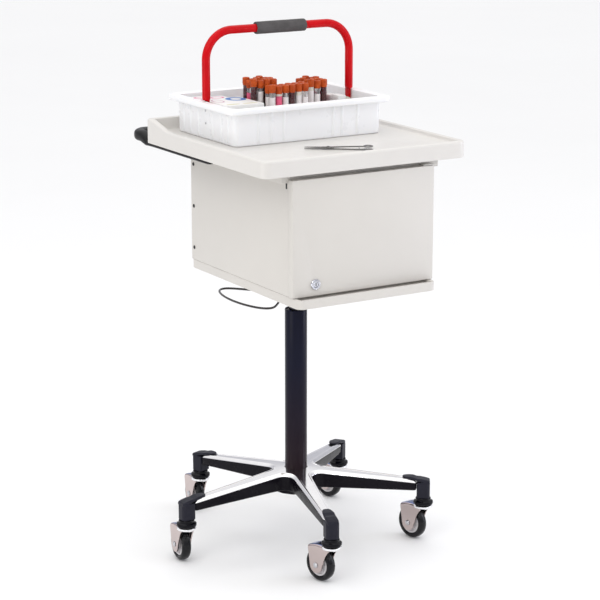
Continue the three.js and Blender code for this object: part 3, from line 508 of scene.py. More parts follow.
def star():
    full = star_outline(0)
    n = len(full)
    def ring(inset, zf):
        return [(x, y, zf(math.hypot(x, y))) for x, y in star_outline(inset)]
    hub_under = lambda r: z_low(r) if r > 62 else 127 + (z_low(r) - 127) * min(1, max(0, (r - 44) / 18)) ** 2
    rings = []
    mats = []
    socket_r = 25.6
    ang = [math.atan2(y, x) for x, y in full]
    circ = lambda r, z: [(r * math.cos(a), r * math.sin(a), z) for a in ang]
    inner_top = star_outline(9.5)
    def rays(t, z_of, base):
        out = []
        for (x, y), a in zip(base, ang):
            x0, y0 = socket_r * math.cos(a), socket_r * math.sin(a)
            px, py = x0 + (x - x0) * t, y0 + (y - y0) * t
            out.append((px, py, z_of(math.hypot(px, py))))
        return out
    rings.append(circ(socket_r, 134.2)); mats.append(1)
    rings.append(circ(socket_r, z_top(socket_r) - 1.4)); mats.append(0)
    top = lambda r: z_top(r) - 0.9
    rings.append(circ(socket_r + 1.2, z_top(socket_r) - 0.9)); mats.append(0)
    for t in (0.15, 0.35, 0.6, 0.85):
        rings.append(rays(t, top, inner_top)); mats.append(0)
    rings.append(ring(9.5, top)); mats.append(0)
    rings.append(ring(9.0, top)); mats.append(0)
    rings.append(ring(8.0, z_top)); mats.append(0)
    rings.append(ring(5.8, z_top)); mats.append(0)
    rings.append(ring(5.0, lambda r: z_top(r) - 0.3)); mats.append(0)
    rings.append(ring(0.9, lambda r: z_top(r) - 5.3)); mats.append(0)
    rings.append(ring(0.2, lambda r: z_top(r) - 6.6)); mats.append(1)
    rings.append(ring(0.0, lambda r: z_top(r) - 8.5)); mats.append(1)
    rings.append(ring(0.0, lambda r: z_low(r) + 6)); mats.append(1)
    rings.append(ring(0.8, lambda r: z_low(r) + 2.5)); mats.append(1)
    rings.append(ring(2.6, lambda r: z_low(r) + 0.5)); mats.append(1)
    rings.append(ring(4.5, z_low)); mats.append(1)
    base = star_outline(4.5)
    for t in (0.85, 0.6, 0.42, 0.3, 0.2, 0.1, 0.02):
        rings.append(rays(t, hub_under, base)); mats.append(1)
    rings.append(circ(20.0, 127.0)); mats.append(1)
    rings.append(circ(18.0, 128.0)); mats.append(1)
    rings.append(circ(18.0, 134.2)); mats.append(1)
    verts, faces = loft(rings, closed=True)
    fm = []
    for i in range(len(rings)):
        fm += [mats[i]] * n
    return piece("star_base_casting", verts, faces, "base", [M["polished"], M["star_side"]], face_mat=fm,
                 replaces="star_base", slot="star_steel", sharp=28)
star()

def moulded(name, shells, voxel, iters, body, mat, node, slot, place):
    """closed shells joined by a fine remesh and relaxed, so that the joint between them is filleted"""
    g = Geo()
    for v, f in shells:
        g.add(v, f)
    me = bpy.data.meshes.new("tmp_" + name)
    me.from_pydata([tuple(q / 1000 for q in p) for p in g.v], [], g.f)
    bm = bmesh.new(); bm.from_mesh(me)
    bmesh.ops.recalc_face_normals(bm, faces=bm.faces)
    bm.to_mesh(me); bm.free()
    tmp = bpy.data.objects.new("tmp_" + name, me)
    bpy.context.scene.collection.objects.link(tmp)
    r = tmp.modifiers.new("r", "REMESH"); r.mode = "VOXEL"; r.voxel_size = voxel / 1000
    q = tmp.modifiers.new("q", "SMOOTH"); q.factor = 0.5; q.iterations = iters
    dg = bpy.context.evaluated_depsgraph_get()
    out = bpy.data.meshes.new_from_object(tmp.evaluated_get(dg))
    bpy.data.objects.remove(tmp)
    co = np.zeros(len(out.vertices) * 3, np.float32)
    out.vertices.foreach_get("co", co)
    return out, co.reshape(-1, 3) * 1000

# end cap of a leg: a socket post for the caster stem and a blade lying on the leg
CX0 = LEG_END - STEM_R + 0.4
def cap_section(x, half, zb, zt, r):
    r = min(r, half * 0.98, (zt - zb) / 2.05)
    return [(x, y, z) for y, z in rounded(-half, half, zb, zt, [r * 0.4, r * 0.4, r, r], 5)]
def leg_slope(x):
    return z_top(STEM_R + x)
blade = []
for x, h, t in ((-47.5, 3.0, 2.4), (-46.5, 5.2, 3.2), (-44, 7.6, 3.9), (-40, 9.8, 4.4), (-33, 11.8, 4.9), (-24, 13.0, 5.2), (CX0 + 1, 13.4, 5.4), (CX0 + 9, 13.6, 6.9), (6, 13.8, 7.2), (12, 13.0, 6.8), (14.6, 11.4, 6.0)):
    base = leg_slope(x) + 0.6 if x < CX0 else leg_slope(CX0) - 1.5 - (x - CX0) * 0.24
    blade.append(cap_section(x, h, base, base + t, 3.6))
post_o = lambda d: rounded(CX0 + d, 15 - d, -15 + d, 15 - d, [2.5, 9.5, 9.5, 2.5], 7)
post = [[(x, y, z) for x, y in post_o(d)] for d, z in ((1.0, 110.5), (0.3, 111.0), (0.0, 112), (0.0, 144), (0.6, 147.5))]
cap_mesh, cap_co = moulded("cap", [loft(blade), loft(post)], 0.55, 2, None, None, None, None, None)
for k, deg in LEGS.items():
    a = rad(deg); ca, sa = math.cos(a), math.sin(a)
    me = cap_mesh.copy(); me.name = f"leg_end_cap_{k}"
    lx_ = cap_co[:, 0] + STEM_R
    co = np.stack([lx_ * ca - cap_co[:, 1] * sa, lx_ * sa + cap_co[:, 1] * ca, cap_co[:, 2]], 1)
    co = co / 1000 + np.array([OX, OY, OZ])
    me.vertices.foreach_set("co", co.astype(np.float32).ravel())
    me.polygons.foreach_set("use_smooth", [True] * len(me.polygons))
    me.update()
    register(f"leg_end_cap_{k}", me, "base", M["black_plastic"], f"leg_cap_{k}")

# ----------------------------------------------------------------- casters
TRAIL, WHEEL_Z, WHEEL_R = 32.5, 43.5, 37.5
FORK_X, FORK_T, FORK_TOP = 13.2, 2.6, 92.3

def fork_shell(place, geo, mat):
    """bent sheet: two side plates with round lower ends joined by a hood with rolled shoulders"""
    R, zc, x = 18.0, WHEEL_Z, FORK_X + FORK_T
    y_back = TRAIL + 24
    ys = [-6 + (y_back + 6) * (0.5 - 0.5 * math.cos(math.pi * i / 39)) for i in range(40)]
    def low(y):
        if y < 4: return FORK_TOP - 8 + (zc + 26 - FORK_TOP + 8) * (y + 6) / 10
        if y < TRAIL - R: return zc + 26 + (-26) * (y - 4) / (TRAIL - R - 4)
        if y > TRAIL + R: return zc + (FORK_TOP - 14 - zc) * (y - TRAIL - R) / (y_back - TRAIL - R)
        q = min(1.0, abs(y - TRAIL) / R)
        return zc - R * math.sqrt(max(0.0, 1 - q * q))
    def high(y):
        return FORK_TOP - (7.0 * ((y - 22) / 34.5) ** 2 if y > 22 else 0)
    rc, rows = 6.0, []
    for side, off in ((0, 0.0), (1, FORK_T)):
        hx = x - off; rr = rc - off if off < rc else 0.5
        grid = []
        for y in ys:
            zl, zh = low(y), high(y) - off
            zl = min(zl, zh - rr - 0.5)
            col = []
            for i in range(9):
                col.append((-hx, y, zl + (zh - rr - zl) * i / 8))
            for i in range(1, 6):
                w = rad(90 * i / 5)
                col.append((-hx + rr - rr * math.cos(w), y, zh - rr + rr * math.sin(w)))
            for i in range(1, 5):
                col.append((-hx + rr + 2 * (hx - rr) * i / 5, y, zh))
            for i in range(0, 6):
                w = rad(90 * i / 5)
                col.append((hx - rr + rr * math.sin(w), y, zh - rr + rr * math.cos(w)))
            for i in range(1, 9):
                col.append((hx, y, zh - rr + (zl - zh + rr) * i / 8))
            grid.append(col)
        rows.append(grid)
    n, m = len(ys), len(rows[0][0])
    verts = [p for g in rows for col in g for p in col]
    idx = lambda s, i, j: s * n * m + i * m + j
    faces = []
    for i in range(n - 1):
        for j in range(m - 1):
            faces.append([idx(0, i, j), idx(0, i, j + 1), idx(0, i + 1, j + 1), idx(0, i + 1, j)])
            faces.append([idx(1, i, j), idx(1, i + 1, j), idx(1, i + 1, j + 1), idx(1, i, j + 1)])
        for j in (0, m - 1):
            faces.append([idx(0, i, j), idx(0, i + 1, j), idx(1, i + 1, j), idx(1, i, j)])
    for j in range(m - 1):
        for i in (0, n - 1):
            faces.append([idx(0, i, j), idx(1, i, j), idx(1, i, j + 1), idx(0, i, j + 1)])
    mid = [sum((Vector(verts[q]) for q in fc), Vector()) / len(fc) for fc in faces]
    # top faces of the hood take the blue painted reflection
    reflection_tinted_top = lambda fc, c: abs(c.x) < x - 3.2 and c.z > high(c.y) - 1.6 and max(fc) < n * m
    geo.add(verts, faces, [1 if reflection_tinted_top(fc, c) else mat for fc, c in zip(faces, mid)], place)

def hexnut(z0, z1, r, bore, place, geo, mat):
    out = []
    for zz, s in ((z0, 0.93), (z0 + 0.5, 1), (z1 - 0.6, 1), (z1, 0.9)):
        out.append([(r * s * math.cos(rad(60 * j + 15)), r * s * math.sin(rad(60 * j + 15)), zz) for j in range(6)])
    v, f = loft(out)
    geo.add(v, f, mat, place)

for k in (1, 2, 3, 4, 5):
    a = rad(LEGS[k]); ox, oy = STEM_R * math.cos(a), STEM_R * math.sin(a)
    w = rad(TRAIL_DIR[k])
    up = turn_place((ox, oy, 0), w)
    cx, cy = ox - TRAIL * math.sin(w), oy + TRAIL * math.cos(w)
    side = turn_place((cx, cy, WHEEL_Z), w, "x")
    # dust collar
    v, f = lathe(smooth_profile([(6.1, 93.0, 0.3), (17.5, 93.0, 1), (22.5, 96.0, 2.6), (22.4, 101.5, 2.6), (17.2, 104.6, 1.2),
                                 (17.6, 108.2, 0.9), (16.4, 110.0, 0.8), (6.1, 110.0, 0.3)], n=5, closed=True), 64, up)
    piece(f"collar_{k}", v, f, "base", M["gloss_black"], replaces=f"caster_collar_{k}", slot="collar_plastic")
    # fork, swivel raceway and stem
    g = Geo()
    fork_shell(up, g, 0)
    v, f = lathe(smooth_profile([(0, 84.5), (17, 84.5, 1), (21.3, 87.4, 1.2), (21.5, 91.2, 0.8), (19.5, 92.8, 0.6), (5.5, 92.8, 0.2), (5.5, 138), (4.8, 139.5), (0, 139.5)], n=4), 56, up)
    g.add(v, f, 2)
    g.make(f"fork_{k}", f"swivel_{k}", [M["chrome"], M["hood"], M["race"]], replaces=f"caster_fork_{k}", slot="fork_chrome", sharp=40)
    # axle bolt with a nut on one side and a domed head on the other
    g = Geo()
    v, f = lathe(smooth_profile([(0, -18.9), (3.0, -18.9, 1), (6.0, -17.6, 1.2), (6.2, -16.2, 0.3), (3.95, -16.2, 0.2), (3.95, 18.2, 0.4), (3.2, 18.9, 0.3), (0, 18.9)], n=4), 32, side)
    g.add(v, f, 0)
    hexnut(16.1, 18.4, 6.6, 4, side, g, 0)
    g.make(f"axle_{k}", f"swivel_{k}", [M["zinc"]], replaces=f"caster_axle_{k}", slot="axle_steel", sharp=30)
    # wheel centre: hub, dished web with ribs, rim
    prof = smooth_profile([(4.35, -12), (8, -12, 0.8), (8.6, -8, 0.8), (10, -5.0, 1), (20.5, -5.0, 1.2), (22.5, -8.4, 0.8), (25.4, -8.6, 0.3),
                           (25.4, 8.6, 0.3), (22.5, 8.4, 0.8), (20.5, 5.0, 1.2), (10, 5.0, 1), (8.6, 8, 0.8), (8, 12, 0.8), (4.35, 12)], n=3, closed=True)
    g = Geo()
    v, f = lathe(prof, 56, side); g.add(v, f, 0)
    for q in range(8):
        t = rad(45 * q)
        for sgn in (-1, 1):
            ribs = []
            for rr in (8.4, 21.6):
                tx, ty = -math.sin(t), math.cos(t)
                bx_, by_ = rr * math.cos(t), rr * math.sin(t)
                ribs.append([(bx_ + tx * 0.9, by_ + ty * 0.9, sgn * 4.6), (bx_ + tx * 0.6, by_ + ty * 0.6, sgn * 7.4),
                             (bx_ - tx * 0.6, by_ - ty * 0.6, sgn * 7.4), (bx_ - tx * 0.9, by_ - ty * 0.9, sgn * 4.6)])
            vv, ff = loft(ribs); g.add(vv, ff, 0, side)
    g.make(f"wheel_centre_{k}", f"wheel_{k}", [M["core"]], replaces=f"wheel_core_{k}", slot="wheel_core", sharp=40)
    tyre = [(25.9, -8.5, 0.3), (27.0, -9.6, 0.8), (30.0, -11.0, 2.0), (33.4, -10.2, 3), (36.4, -7.0, 3.5), (37.35, -2.4, 2.5), (37.5, -0.5, 0.3), (37.5, 0.5, 0.3),
            (37.35, 2.4, 2.5), (36.4, 7.0, 3.5), (33.4, 10.2, 3), (30.0, 11.0, 2.0), (27.0, 9.6, 0.8), (25.9, 8.5, 0.3)]
    v, f = lathe(smooth_profile(tyre, n=4, closed=True), 88, side)
    piece(f"tyre_{k}", v, f, f"wheel_{k}", M["rubber"], replaces=f"wheel_tyre_{k}", slot="wheel_tyre", sharp=60)

# ------------------------------------------------------------------ column
v, f = lathe(smooth_profile([(22, 134, 0.4), (25, 134, 0.4), (25, 545.6, 0.4), (24.3, 546.0, 0.3), (24.3, 546.8, 0.3), (24.9, 547.2, 0.3), (24.4, 548, 0.3), (22.4, 548, 0.4), (22, 546.5, 0.3)], n=3, closed=True), 112)
piece("column_outer", v, f, "base", M["column"], replaces="column_tube", slot="column_black", sharp=50)
v, f = lathe(smooth_profile([(15.75, 502, 0.3), (21.8, 502, 0.4), (21.8, 544, 0.6), (19.0, 546, 0.8), (17.2, 544.6, 0.6), (15.75, 543, 0.4)], n=3, closed=True), 80)
piece("column_guide_bush", v, f, "base", M["bush"], replaces="column_bush", slot="bush_black", sharp=50)
v, f = lathe(smooth_profile([(13, 262, 0.3), (15.5, 262, 0.5), (15.5, 623.4, 0.3), (13, 623.4, 0.3)], n=3, closed=True), 80)
piece("column_inner", v, f, "upper", M["inner"], replaces="column_inner_tube", slot="inner_tube", sharp=50)
from_node("column_mount_plate", "column_top_plate", M["plate"], bevel=0.8)
from_node("release_hinge_bracket", "release_bracket", M["plate"], bevel=0.5)
half = [(-36, 8), (-36, 15.5), (-38.5, 19.5), (-57, 38), (-80, 62), (-97, 82), (-110, 95.5), (-120, 102), (-131, 102), (-141, 94), (-149, 80), (-156, 58), (-160.5, 34), (-162.5, 10)]
loop = [(x, y, 587) for x, y in half] + [(x, -y, 587) for x, y in reversed(half)]
v, f = sweep(catmull(loop, 9, True), 2.45, sides=20, closed=True)
piece("release_wire_loop", v, f, "release_lever", M["wire"], replaces="release_loop", slot="lever_wire", sharp=60)

# ------------------------------------------------------------------ locker
for n_, node in (("locker_bottom", "cabinet_bottom_board"), ("locker_top", "cabinet_top_board"), ("locker_side_left", "cabinet_left_panel"),
                 ("locker_side_right", "cabinet_right_panel"), ("locker_back", "cabinet_back_panel"), ("locker_door", "cabinet_door")):
    from_node(n_, node, M["laminate"], bevel=0.9, seg=3, sharp=30)
from_node("door_pin_lower", "hinge_pin_lower", M["hinge_paint"], bevel=0.4)
from_node("door_bracket_upper", "hinge_bracket_upper", M["hinge_paint"], bevel=0.35)

def screw(name, at, axis_angle, r=4.2, head=1.4, mat="dark", body="upper", slot="hinge_steel", kind="hex"):
    """low-head screw whose axis points sideways; axis_angle is where its head faces, in degrees"""
    a = rad(axis_angle)
    dx, dy = math.cos(a), math.sin(a)
    def place(p):
        x, y, z = p
        return (at[0] + dx * z - dy * x, at[1] + dy * z + dx * x, at[2] + y)
    g = Geo()
    v, f = lathe(smooth_profile([(0, head - 1.3), (r * 0.36, head - 1.3, 0.1), (r * 0.42, head - 0.1, 0.15), (r * 0.62, head, 0.3), (r * 0.96, head * 0.55, 0.4), (r, 0.02, 0.1), (r, -0.6, 0.1), (0, -0.6)], n=4), 36, place)
    g.add(v, f, 0)
    return g.make(name, body, [M[mat]], slot=slot, sharp=35)
for i, z in enumerate((865, 771, 677)):
    screw(f"panel_screw_left_{i + 1}", (-171, 154, z), 180, slot="plate_black")
    screw(f"panel_screw_right_{i + 1}", (171, 154, z), 0, slot="plate_black")
for i, x in enumerate((-150, -50, 50, 150)):
    screw(f"panel_screw_back_{i + 1}", (x, 164, 655.5 + 8), 90, slot="plate_black")

# lock: bezel, cylinder with a key way drawn as a thin dark sheet of painted shade, cam
lx, lz = -118.8, 674.5
lock_place = turn_place((lx, 0, lz), 0, "-y")
v, f = lathe(smooth_profile([(6.15, 250, 0.2), (9.4, 250, 0.3), (9.4, 276.4, 0.1), (11.6, 276.4, 0.25), (11.7, 277.1, 0.4), (10.4, 279.2, 0.8), (8.6, 279.5, 0.5), (7.6, 278.6, 0.4), (6.15, 278.4, 0.3)], n=4, closed=True), 72, lock_place)
piece("lock_bezel", v, f, "door", M["lockset"], replaces="lock_body", slot="lock_chrome", sharp=40)
g = Geo()
v, f = lathe(smooth_profile([(0, 246), (5.9, 246, 0.3), (5.9, 277.6, 0.5), (4.9, 278.3, 0.3), (0, 278.3)], n=3), 48, lock_place); g.add(v, f, 0)
key = [(lx - 0.85, 278.35, lz - 3.6), (lx + 0.85, 278.35, lz - 3.6), (lx + 0.85, 278.35, lz + 3.6), (lx - 0.85, 278.35, lz + 3.6)]
slot_o = rounded(-0.9, 0.9, -3.6, 3.6, 0.6, 4)
# key way: a near-black sheet through the cylinder face, painted shade in place of a slot
v, f = loft([[(lx + x, -278.0, lz + z) for x, z in slot_o], [(lx + x, -278.42, lz + z) for x, z in slot_o]]); g.add(v, f, 1)
cam_o = rounded(-6, 6, -7, 38, [5.9, 5.9, 4, 4], 6)
v, f = loft([[(lx + x, -248.6, lz + z) for x, z in cam_o], [(lx + x, -246.2, lz + z) for x, z in cam_o]]); g.add(v, f, 2)
nutr = [[(lx + 5.2 * math.cos(rad(60 * j)), -y, lz + 5.2 * math.sin(rad(60 * j))) for j in range(6)] for y in (246.2, 243.8)]
v, f = loft(nutr); g.add(v, f, 2)
g.make("lock_cylinder_and_cam", "lock_cam", [M["lockset"], M["hole"], M["zinc"]], replaces="lock_plug", slot="lock_chrome", sharp=30)

# small dark sheet on the panel at the front, high up: painted shade of the gap behind the door
v, f = loft([[( -171 + 0.2, -247 + y, 890.0 - 7.6 + z) for y, z in rounded(-3.0, 3.0, -6.5, 6.5, 1.4, 4)],
             [(-171.7, -247 + y * 0.94, 890.0 - 7.6 + z * 0.97) for y, z in rounded(-3.0, 3.0, -6.5, 6.5, 1.4, 4)]])
piece("panel_gap_painted_shade", v, f, "upper", M["dark"], slot="plate_black", bevel=0.2)

# ----------------------------------------------------------------- worktop
TX0, TX1, TY0, TY1 = -247.5, 254.0, -286.0, 231.0
RIM, SPLASH, FLOOR, UNDER, SKIRT = 944.5, 963.0, 936.0, 930.0, 908.5
def rise(y):
    t = min(1.0, max(0.0, (y - 132) / 80))
    return (SPLASH - RIM) * t
def top_ring(inset, z, lift=0.0, r_out=21.0):
    r0 = max(r_out - inset, 5.5)
    r1 = max(r_out - 10 - inset, 5.5)
    ring = rounded(TX0 + inset, TX1 - inset, TY0 + inset, TY1 - inset, [r0, r0, r1, r1], 10)
    ring = densify_fixed(ring, 10)
    return [(x, y, z + lift * rise(y)) for x, y in ring]
def densify_fixed(ring, n):
    """11 points on each corner arc stay; each of the four straight runs gets 26 points; n is not used"""
    out, per = [], 11
    for c in range(4):
        arc = ring[c * per:(c + 1) * per]
        out += arc
        a, b = Vector(arc[-1]), Vector(ring[((c + 1) % 4) * per])
        for j in range(1, 27):
            out.append(tuple(a.lerp(b, j / 27)))
    return out
rings = [top_ring(6.2, UNDER), top_ring(6.0, UNDER - 0.6), top_ring(6.0, SKIRT + 1.2), top_ring(5.2, SKIRT + 0.2), top_ring(4.4, SKIRT), top_ring(1.3, SKIRT),
         top_ring(0.4, SKIRT + 0.4), top_ring(0.0, SKIRT + 1.6), top_ring(0.0, 921), top_ring(0.0, RIM - 7, 1.0)]
for i in range(1, 7):
    w = rad(90 * i / 6); q = 5.5
    rings.append(top_ring(q - q * math.cos(w), RIM - q + q * math.sin(w), 1.0))
rings.append(top_ring(8.5, RIM, 1.0)); rings.append(top_ring(11.0, RIM - 0.1, 1.0))
for i in range(1, 6):
    w = rad(90 * i / 5); q = 3.0
    rings.append(top_ring(11 + q * math.sin(w), RIM - 0.1 - q + q * math.cos(w), 1.0))
for s_, zz, lf in ((14.4, 939.8, 0.35), (14.9, 938.2, 0.12), (15.8, 936.9, 0.03), (17.2, 936.2, 0.0), (19.0, FLOOR, 0.0)):
    rings.append(top_ring(s_, zz, lf))
v, f = loft(rings)
piece("worktop_moulding", v, f, "upper", M["worktop"], replaces="worktop", slot="worktop_plastic", sharp=60)

# push handle: arms and an oval grip across the back
zA, xA = SKIRT - 4.3, 234.5
hp = [(-xA, -40, zA, 3, 1.5), (-xA, -35, zA, 9, 3.6), (-xA, 60, zA, 10, 4), (-xA, 200, zA, 10, 4), (-xA, 234, zA - 0.8, 10, 3.6), (-xA, 243, 905.5, 10.5, 7.5),
      (-xA, 253, 911, 11.5, 11), (-xA, 268, 916.5, 12.5, 12.8), (-xA, 284, 917, 13, 13), (-xA + 5, 294, 917, 14, 13), (-xA + 15, 301, 917, 15.5, 13),
      (-xA + 28, 303, 917, 16.5, 13), (-80, 303, 917, 17, 13)]
hp = hp + [(6.5 - x, y, z, a_, b_) for x, y, z, a_, b_ in reversed(hp)]
def resample(rows, per):
    pts = catmull([r[:3] for r in rows], per)
    out = []
    for i in range(len(rows) - 1):
        for j in range(per):
            t = j / per
            out.append((rows[i][3] * (1 - t) + rows[i + 1][3] * t, rows[i][4] * (1 - t) + rows[i + 1][4] * t))
    out.append((rows[-1][3], rows[-1][4]))
    return pts, [o[0] for o in out], [o[1] for o in out]
pts, ra, rb = resample(hp, 5)
v, f = sweep(pts, ra, rb, sides=32, power=2.6)
piece("push_handle_bar", v, f, "upper", M["handle_black"], replaces="push_handle", slot="handle_black", sharp=60)

# -------------------------------------------------------------- carry tray
CX, CY = -6.3, 61.5
BX, BY, RX, RY, TZ0, TZ1, TT = 183.5, 129.0, 201.0, 146.0, 936.4, 1018.5, 3.2
RIBS_X = (-127, -95, -64, 59.5, 82, 121)
RIBS_Y = (-100, -68, -31.7, 31.7, 66, 96.7)
def tray_ring(hx, hy, r, z, rib=0.0):
    ring = rounded(-hx, hx, -hy, hy, r, 10)
    out = []
    per = 11
    N = {0: 260, 1: 186, 2: 260, 3: 186}
    for c in range(4):
        arc = ring[c * per:(c + 1) * per]
        out += arc
        a, b = Vector(arc[-1]), Vector(ring[((c + 1) % 4) * per])
        for j in range(1, N[c]):
            S = (BX if c in (0, 2) else BY) - 22
            q_ = -S + 2 * S * (j - 1) / (N[c] - 2)
            p = Vector((math.copysign(1, b.x - a.x) * q_, a.y)) if c in (0, 2) else Vector((a.x, math.copysign(1, b.y - a.y) * q_))
            if rib:
                along, normal = (p.x, (0, -1 if c == 0 else 1)) if c in (0, 2) else (p.y, (1 if c == 1 else -1, 0))
                marks = RIBS_X if c in (0, 2) else RIBS_Y
                d = min(abs(along - q) for q in marks)
                h = rib * min(1.0, max(0.0, 1 - max(0.0, d - 1.6) / 2.2))
                p = Vector((p.x + normal[0] * h, p.y + normal[1] * h))
            out.append((p.x, p.y))
    return [(CX + x, CY + y, z) for x, y in out]
lip = TZ1 - 12
rings = [tray_ring(BX - 4.5, BY - 4.5, 10, TZ0 + 1.1), tray_ring(BX - 4.0, BY - 4.0, 10.5, TZ0 + 0.1), tray_ring(BX - 2.2, BY - 2.2, 12, TZ0), tray_ring(BX - 0.9, BY - 0.9, 13.4, TZ0 + 0.8), tray_ring(BX - 0.2, BY - 0.2, 14, TZ0 + 2.6),
         tray_ring(BX, BY, 14, TZ0 + 5), tray_ring(BX + 0.1, BY + 0.1, 14, TZ0 + 6.5, 1.2), tray_ring(BX + 0.3, BY + 0.3, 14, TZ0 + 9, 2.0), tray_ring(BX + 1.0, BY + 1.0, 15, lip - 26, 2.0), tray_ring(BX + 1.4, BY + 1.4, 15, lip - 2, 2.0),
         tray_ring(BX + 1.9, BY + 1.9, 15, lip + 0.2), tray_ring(BX + 4, BY + 4, 16, lip + 0.9), tray_ring(RX - 4.6, RY - 4.6, 13, lip + 0.9),
         tray_ring(RX - 3.3, RY - 3.3, 13, lip), tray_ring(RX - 1.4, RY - 1.4, 14, lip - 0.1), tray_ring(RX - 0.4, RY - 0.4, 15, lip + 0.6), tray_ring(RX, RY, 15, lip + 2), tray_ring(RX, RY, 15, TZ1 - 3),
         tray_ring(RX - 0.5, RY - 0.5, 15, TZ1 - 1.3), tray_ring(RX - 1.6, RY - 1.6, 14, TZ1 - 0.3), tray_ring(RX - 3, RY - 3, 13, TZ1), tray_ring(RX - 6, RY - 6, 12, TZ1), tray_ring(RX - 7, RY - 7, 12, TZ1 - 1.2), tray_ring(BX + 5, BY + 5, 13, TZ1 - 1.3), tray_ring(BX + 4, BY + 4, 13, TZ1 - 0.3),
         tray_ring(BX + 0.8, BY + 0.8, 14, TZ1 - 0.4), tray_ring(BX + 1.5 - TT, BY + 1.5 - TT, 13, TZ1 - 1.6), tray_ring(BX + 1.4 - TT, BY + 1.4 - TT, 13, TZ1 - 5), tray_ring(BX - TT, BY - TT, 11, TZ0 + 9),
         tray_ring(BX - TT - 0.6, BY - TT - 0.6, 11, TZ0 + 6), tray_ring(BX - TT - 2.2, BY - TT - 2.2, 10.5, TZ0 + 4.1), tray_ring(BX - TT - 4.5, BY - TT - 4.5, 10, TZ0 + 3.5)]
v, f = loft(rings)
piece("tray_moulding", v, f, "carry_tray", M["tray"], replaces="tray_tub", slot="tray_plastic", sharp=60)
for i, (y, z) in enumerate(((59, 998), (59, 971))):
    screw(f"tray_screw_left_{i + 1}", (CX - BX - 1.25, y, z), 180, r=2.6, head=1.0, mat="zinc", body="carry_tray", slot="handle_red")
    screw(f"tray_screw_right_{i + 1}", (CX + BX + 1.25, y, z), 0, r=2.6, head=1.0, mat="zinc", body="carry_tray", slot="handle_red")

HX, HR, HTOP, HFOOT = 181.0, 9.0, 1167.5, 964.0
sides, zt, Rb = 32, HTOP, 62.0
x0, x1 = CX - HX, CX + HX
path = [(x0, CY, z) for z in (TZ1 + 40, 1080, 1098)]
path += [(x0 + Rb + Rb * math.cos(math.pi - i / 16 * math.pi / 2), CY, zt - Rb + Rb * math.sin(math.pi - i / 16 * math.pi / 2)) for i in range(17)]
path += [(x0 + Rb + 12, CY, zt), (CX, CY, zt), (x1 - Rb - 12, CY, zt)]
path += [(x1 - Rb + Rb * math.cos(math.pi / 2 - i / 16 * math.pi / 2), CY, zt - Rb + Rb * math.sin(math.pi / 2 - i / 16 * math.pi / 2)) for i in range(17)]
path += [(x1, CY, z) for z in (1098, 1080, TZ1 + 40)]
rings = []
P3 = [Vector(p) for p in path]
for i, p in enumerate(P3):
    t = (P3[min(i + 1, len(P3) - 1)] - P3[max(i - 1, 0)]).normalized()
    s_ = t.cross(Vector((0, 1, 0))).normalized()
    rings.append([p + s_ * (HR * math.cos(2 * math.pi * (j + .5) / sides)) + Vector((0, 1, 0)) * (HR * math.sin(2 * math.pi * (j + .5) / sides)) for j in range(sides)])
def level(x, z, rx, ry, sign):
    return [Vector((x + sign * rx * math.cos(2 * math.pi * (j + .5) / sides), CY + ry * math.sin(2 * math.pi * (j + .5) / sides), z)) for j in range(sides)]
def foot(side, sign):
    tab, leg = CX + side * (BX - 4.7), CX + side * HX
    return [level(tab, HFOOT, 0.9, 10.4, sign), level(tab, HFOOT + 0.6, 1.2, 11, sign), level(tab, TZ1 - 6, 1.2, 11.5, sign), level(tab, TZ1 - 1, 1.3, 11.5, sign),
            level(tab, TZ1 + 0.8, 1.6, 11.3, sign), level(leg, TZ1 + 2.0, 7.4, 10.0, sign), level(leg, TZ1 + 5, 8.6, 9.5, sign), level(leg, TZ1 + 10, HR, HR, sign)]
rings_l = foot(-1, -1); rings_r = foot(1, 1)
d0 = (rings[0][0] - rings_l[-1][0]).length
v, f = loft(rings_l + rings + list(reversed(rings_r)))
piece("tray_handle_tube", v, f, "carry_tray", M["red"], replaces="tray_handle", slot="handle_red", sharp=50)
gx = CX + 3
prof = [(9.45, -62), (12.2, -62, 0.8), (13.3, -60.6, 0.8)]
prof += [(13.45, -58)]
for i in range(-6, 7):
    prof += [(13.5, i * 8.6 - 2.6), (13.5, i * 8.6 + 2.6)]
prof += [(13.45, 58), (13.3, 60.6, 0.8), (12.2, 62, 0.8), (9.45, 62)]
v, f = lathe(smooth_profile(prof, n=3, closed=True), 64, turn_place((gx, CY, zt), 0, "x"))
v = [(x, y + 0.12 * noise.noise(Vector((x * 0.09, y * 0.2, z * 0.2))), z + 0.2 * noise.noise(Vector((x * 0.05, y * 0.1, z * 0.1 + 7)))) for x, y, z in v]
piece("handle_foam_grip", v, f, "carry_tray", M["foam"], replaces="handle_grip", slot="grip_foam", sharp=60)

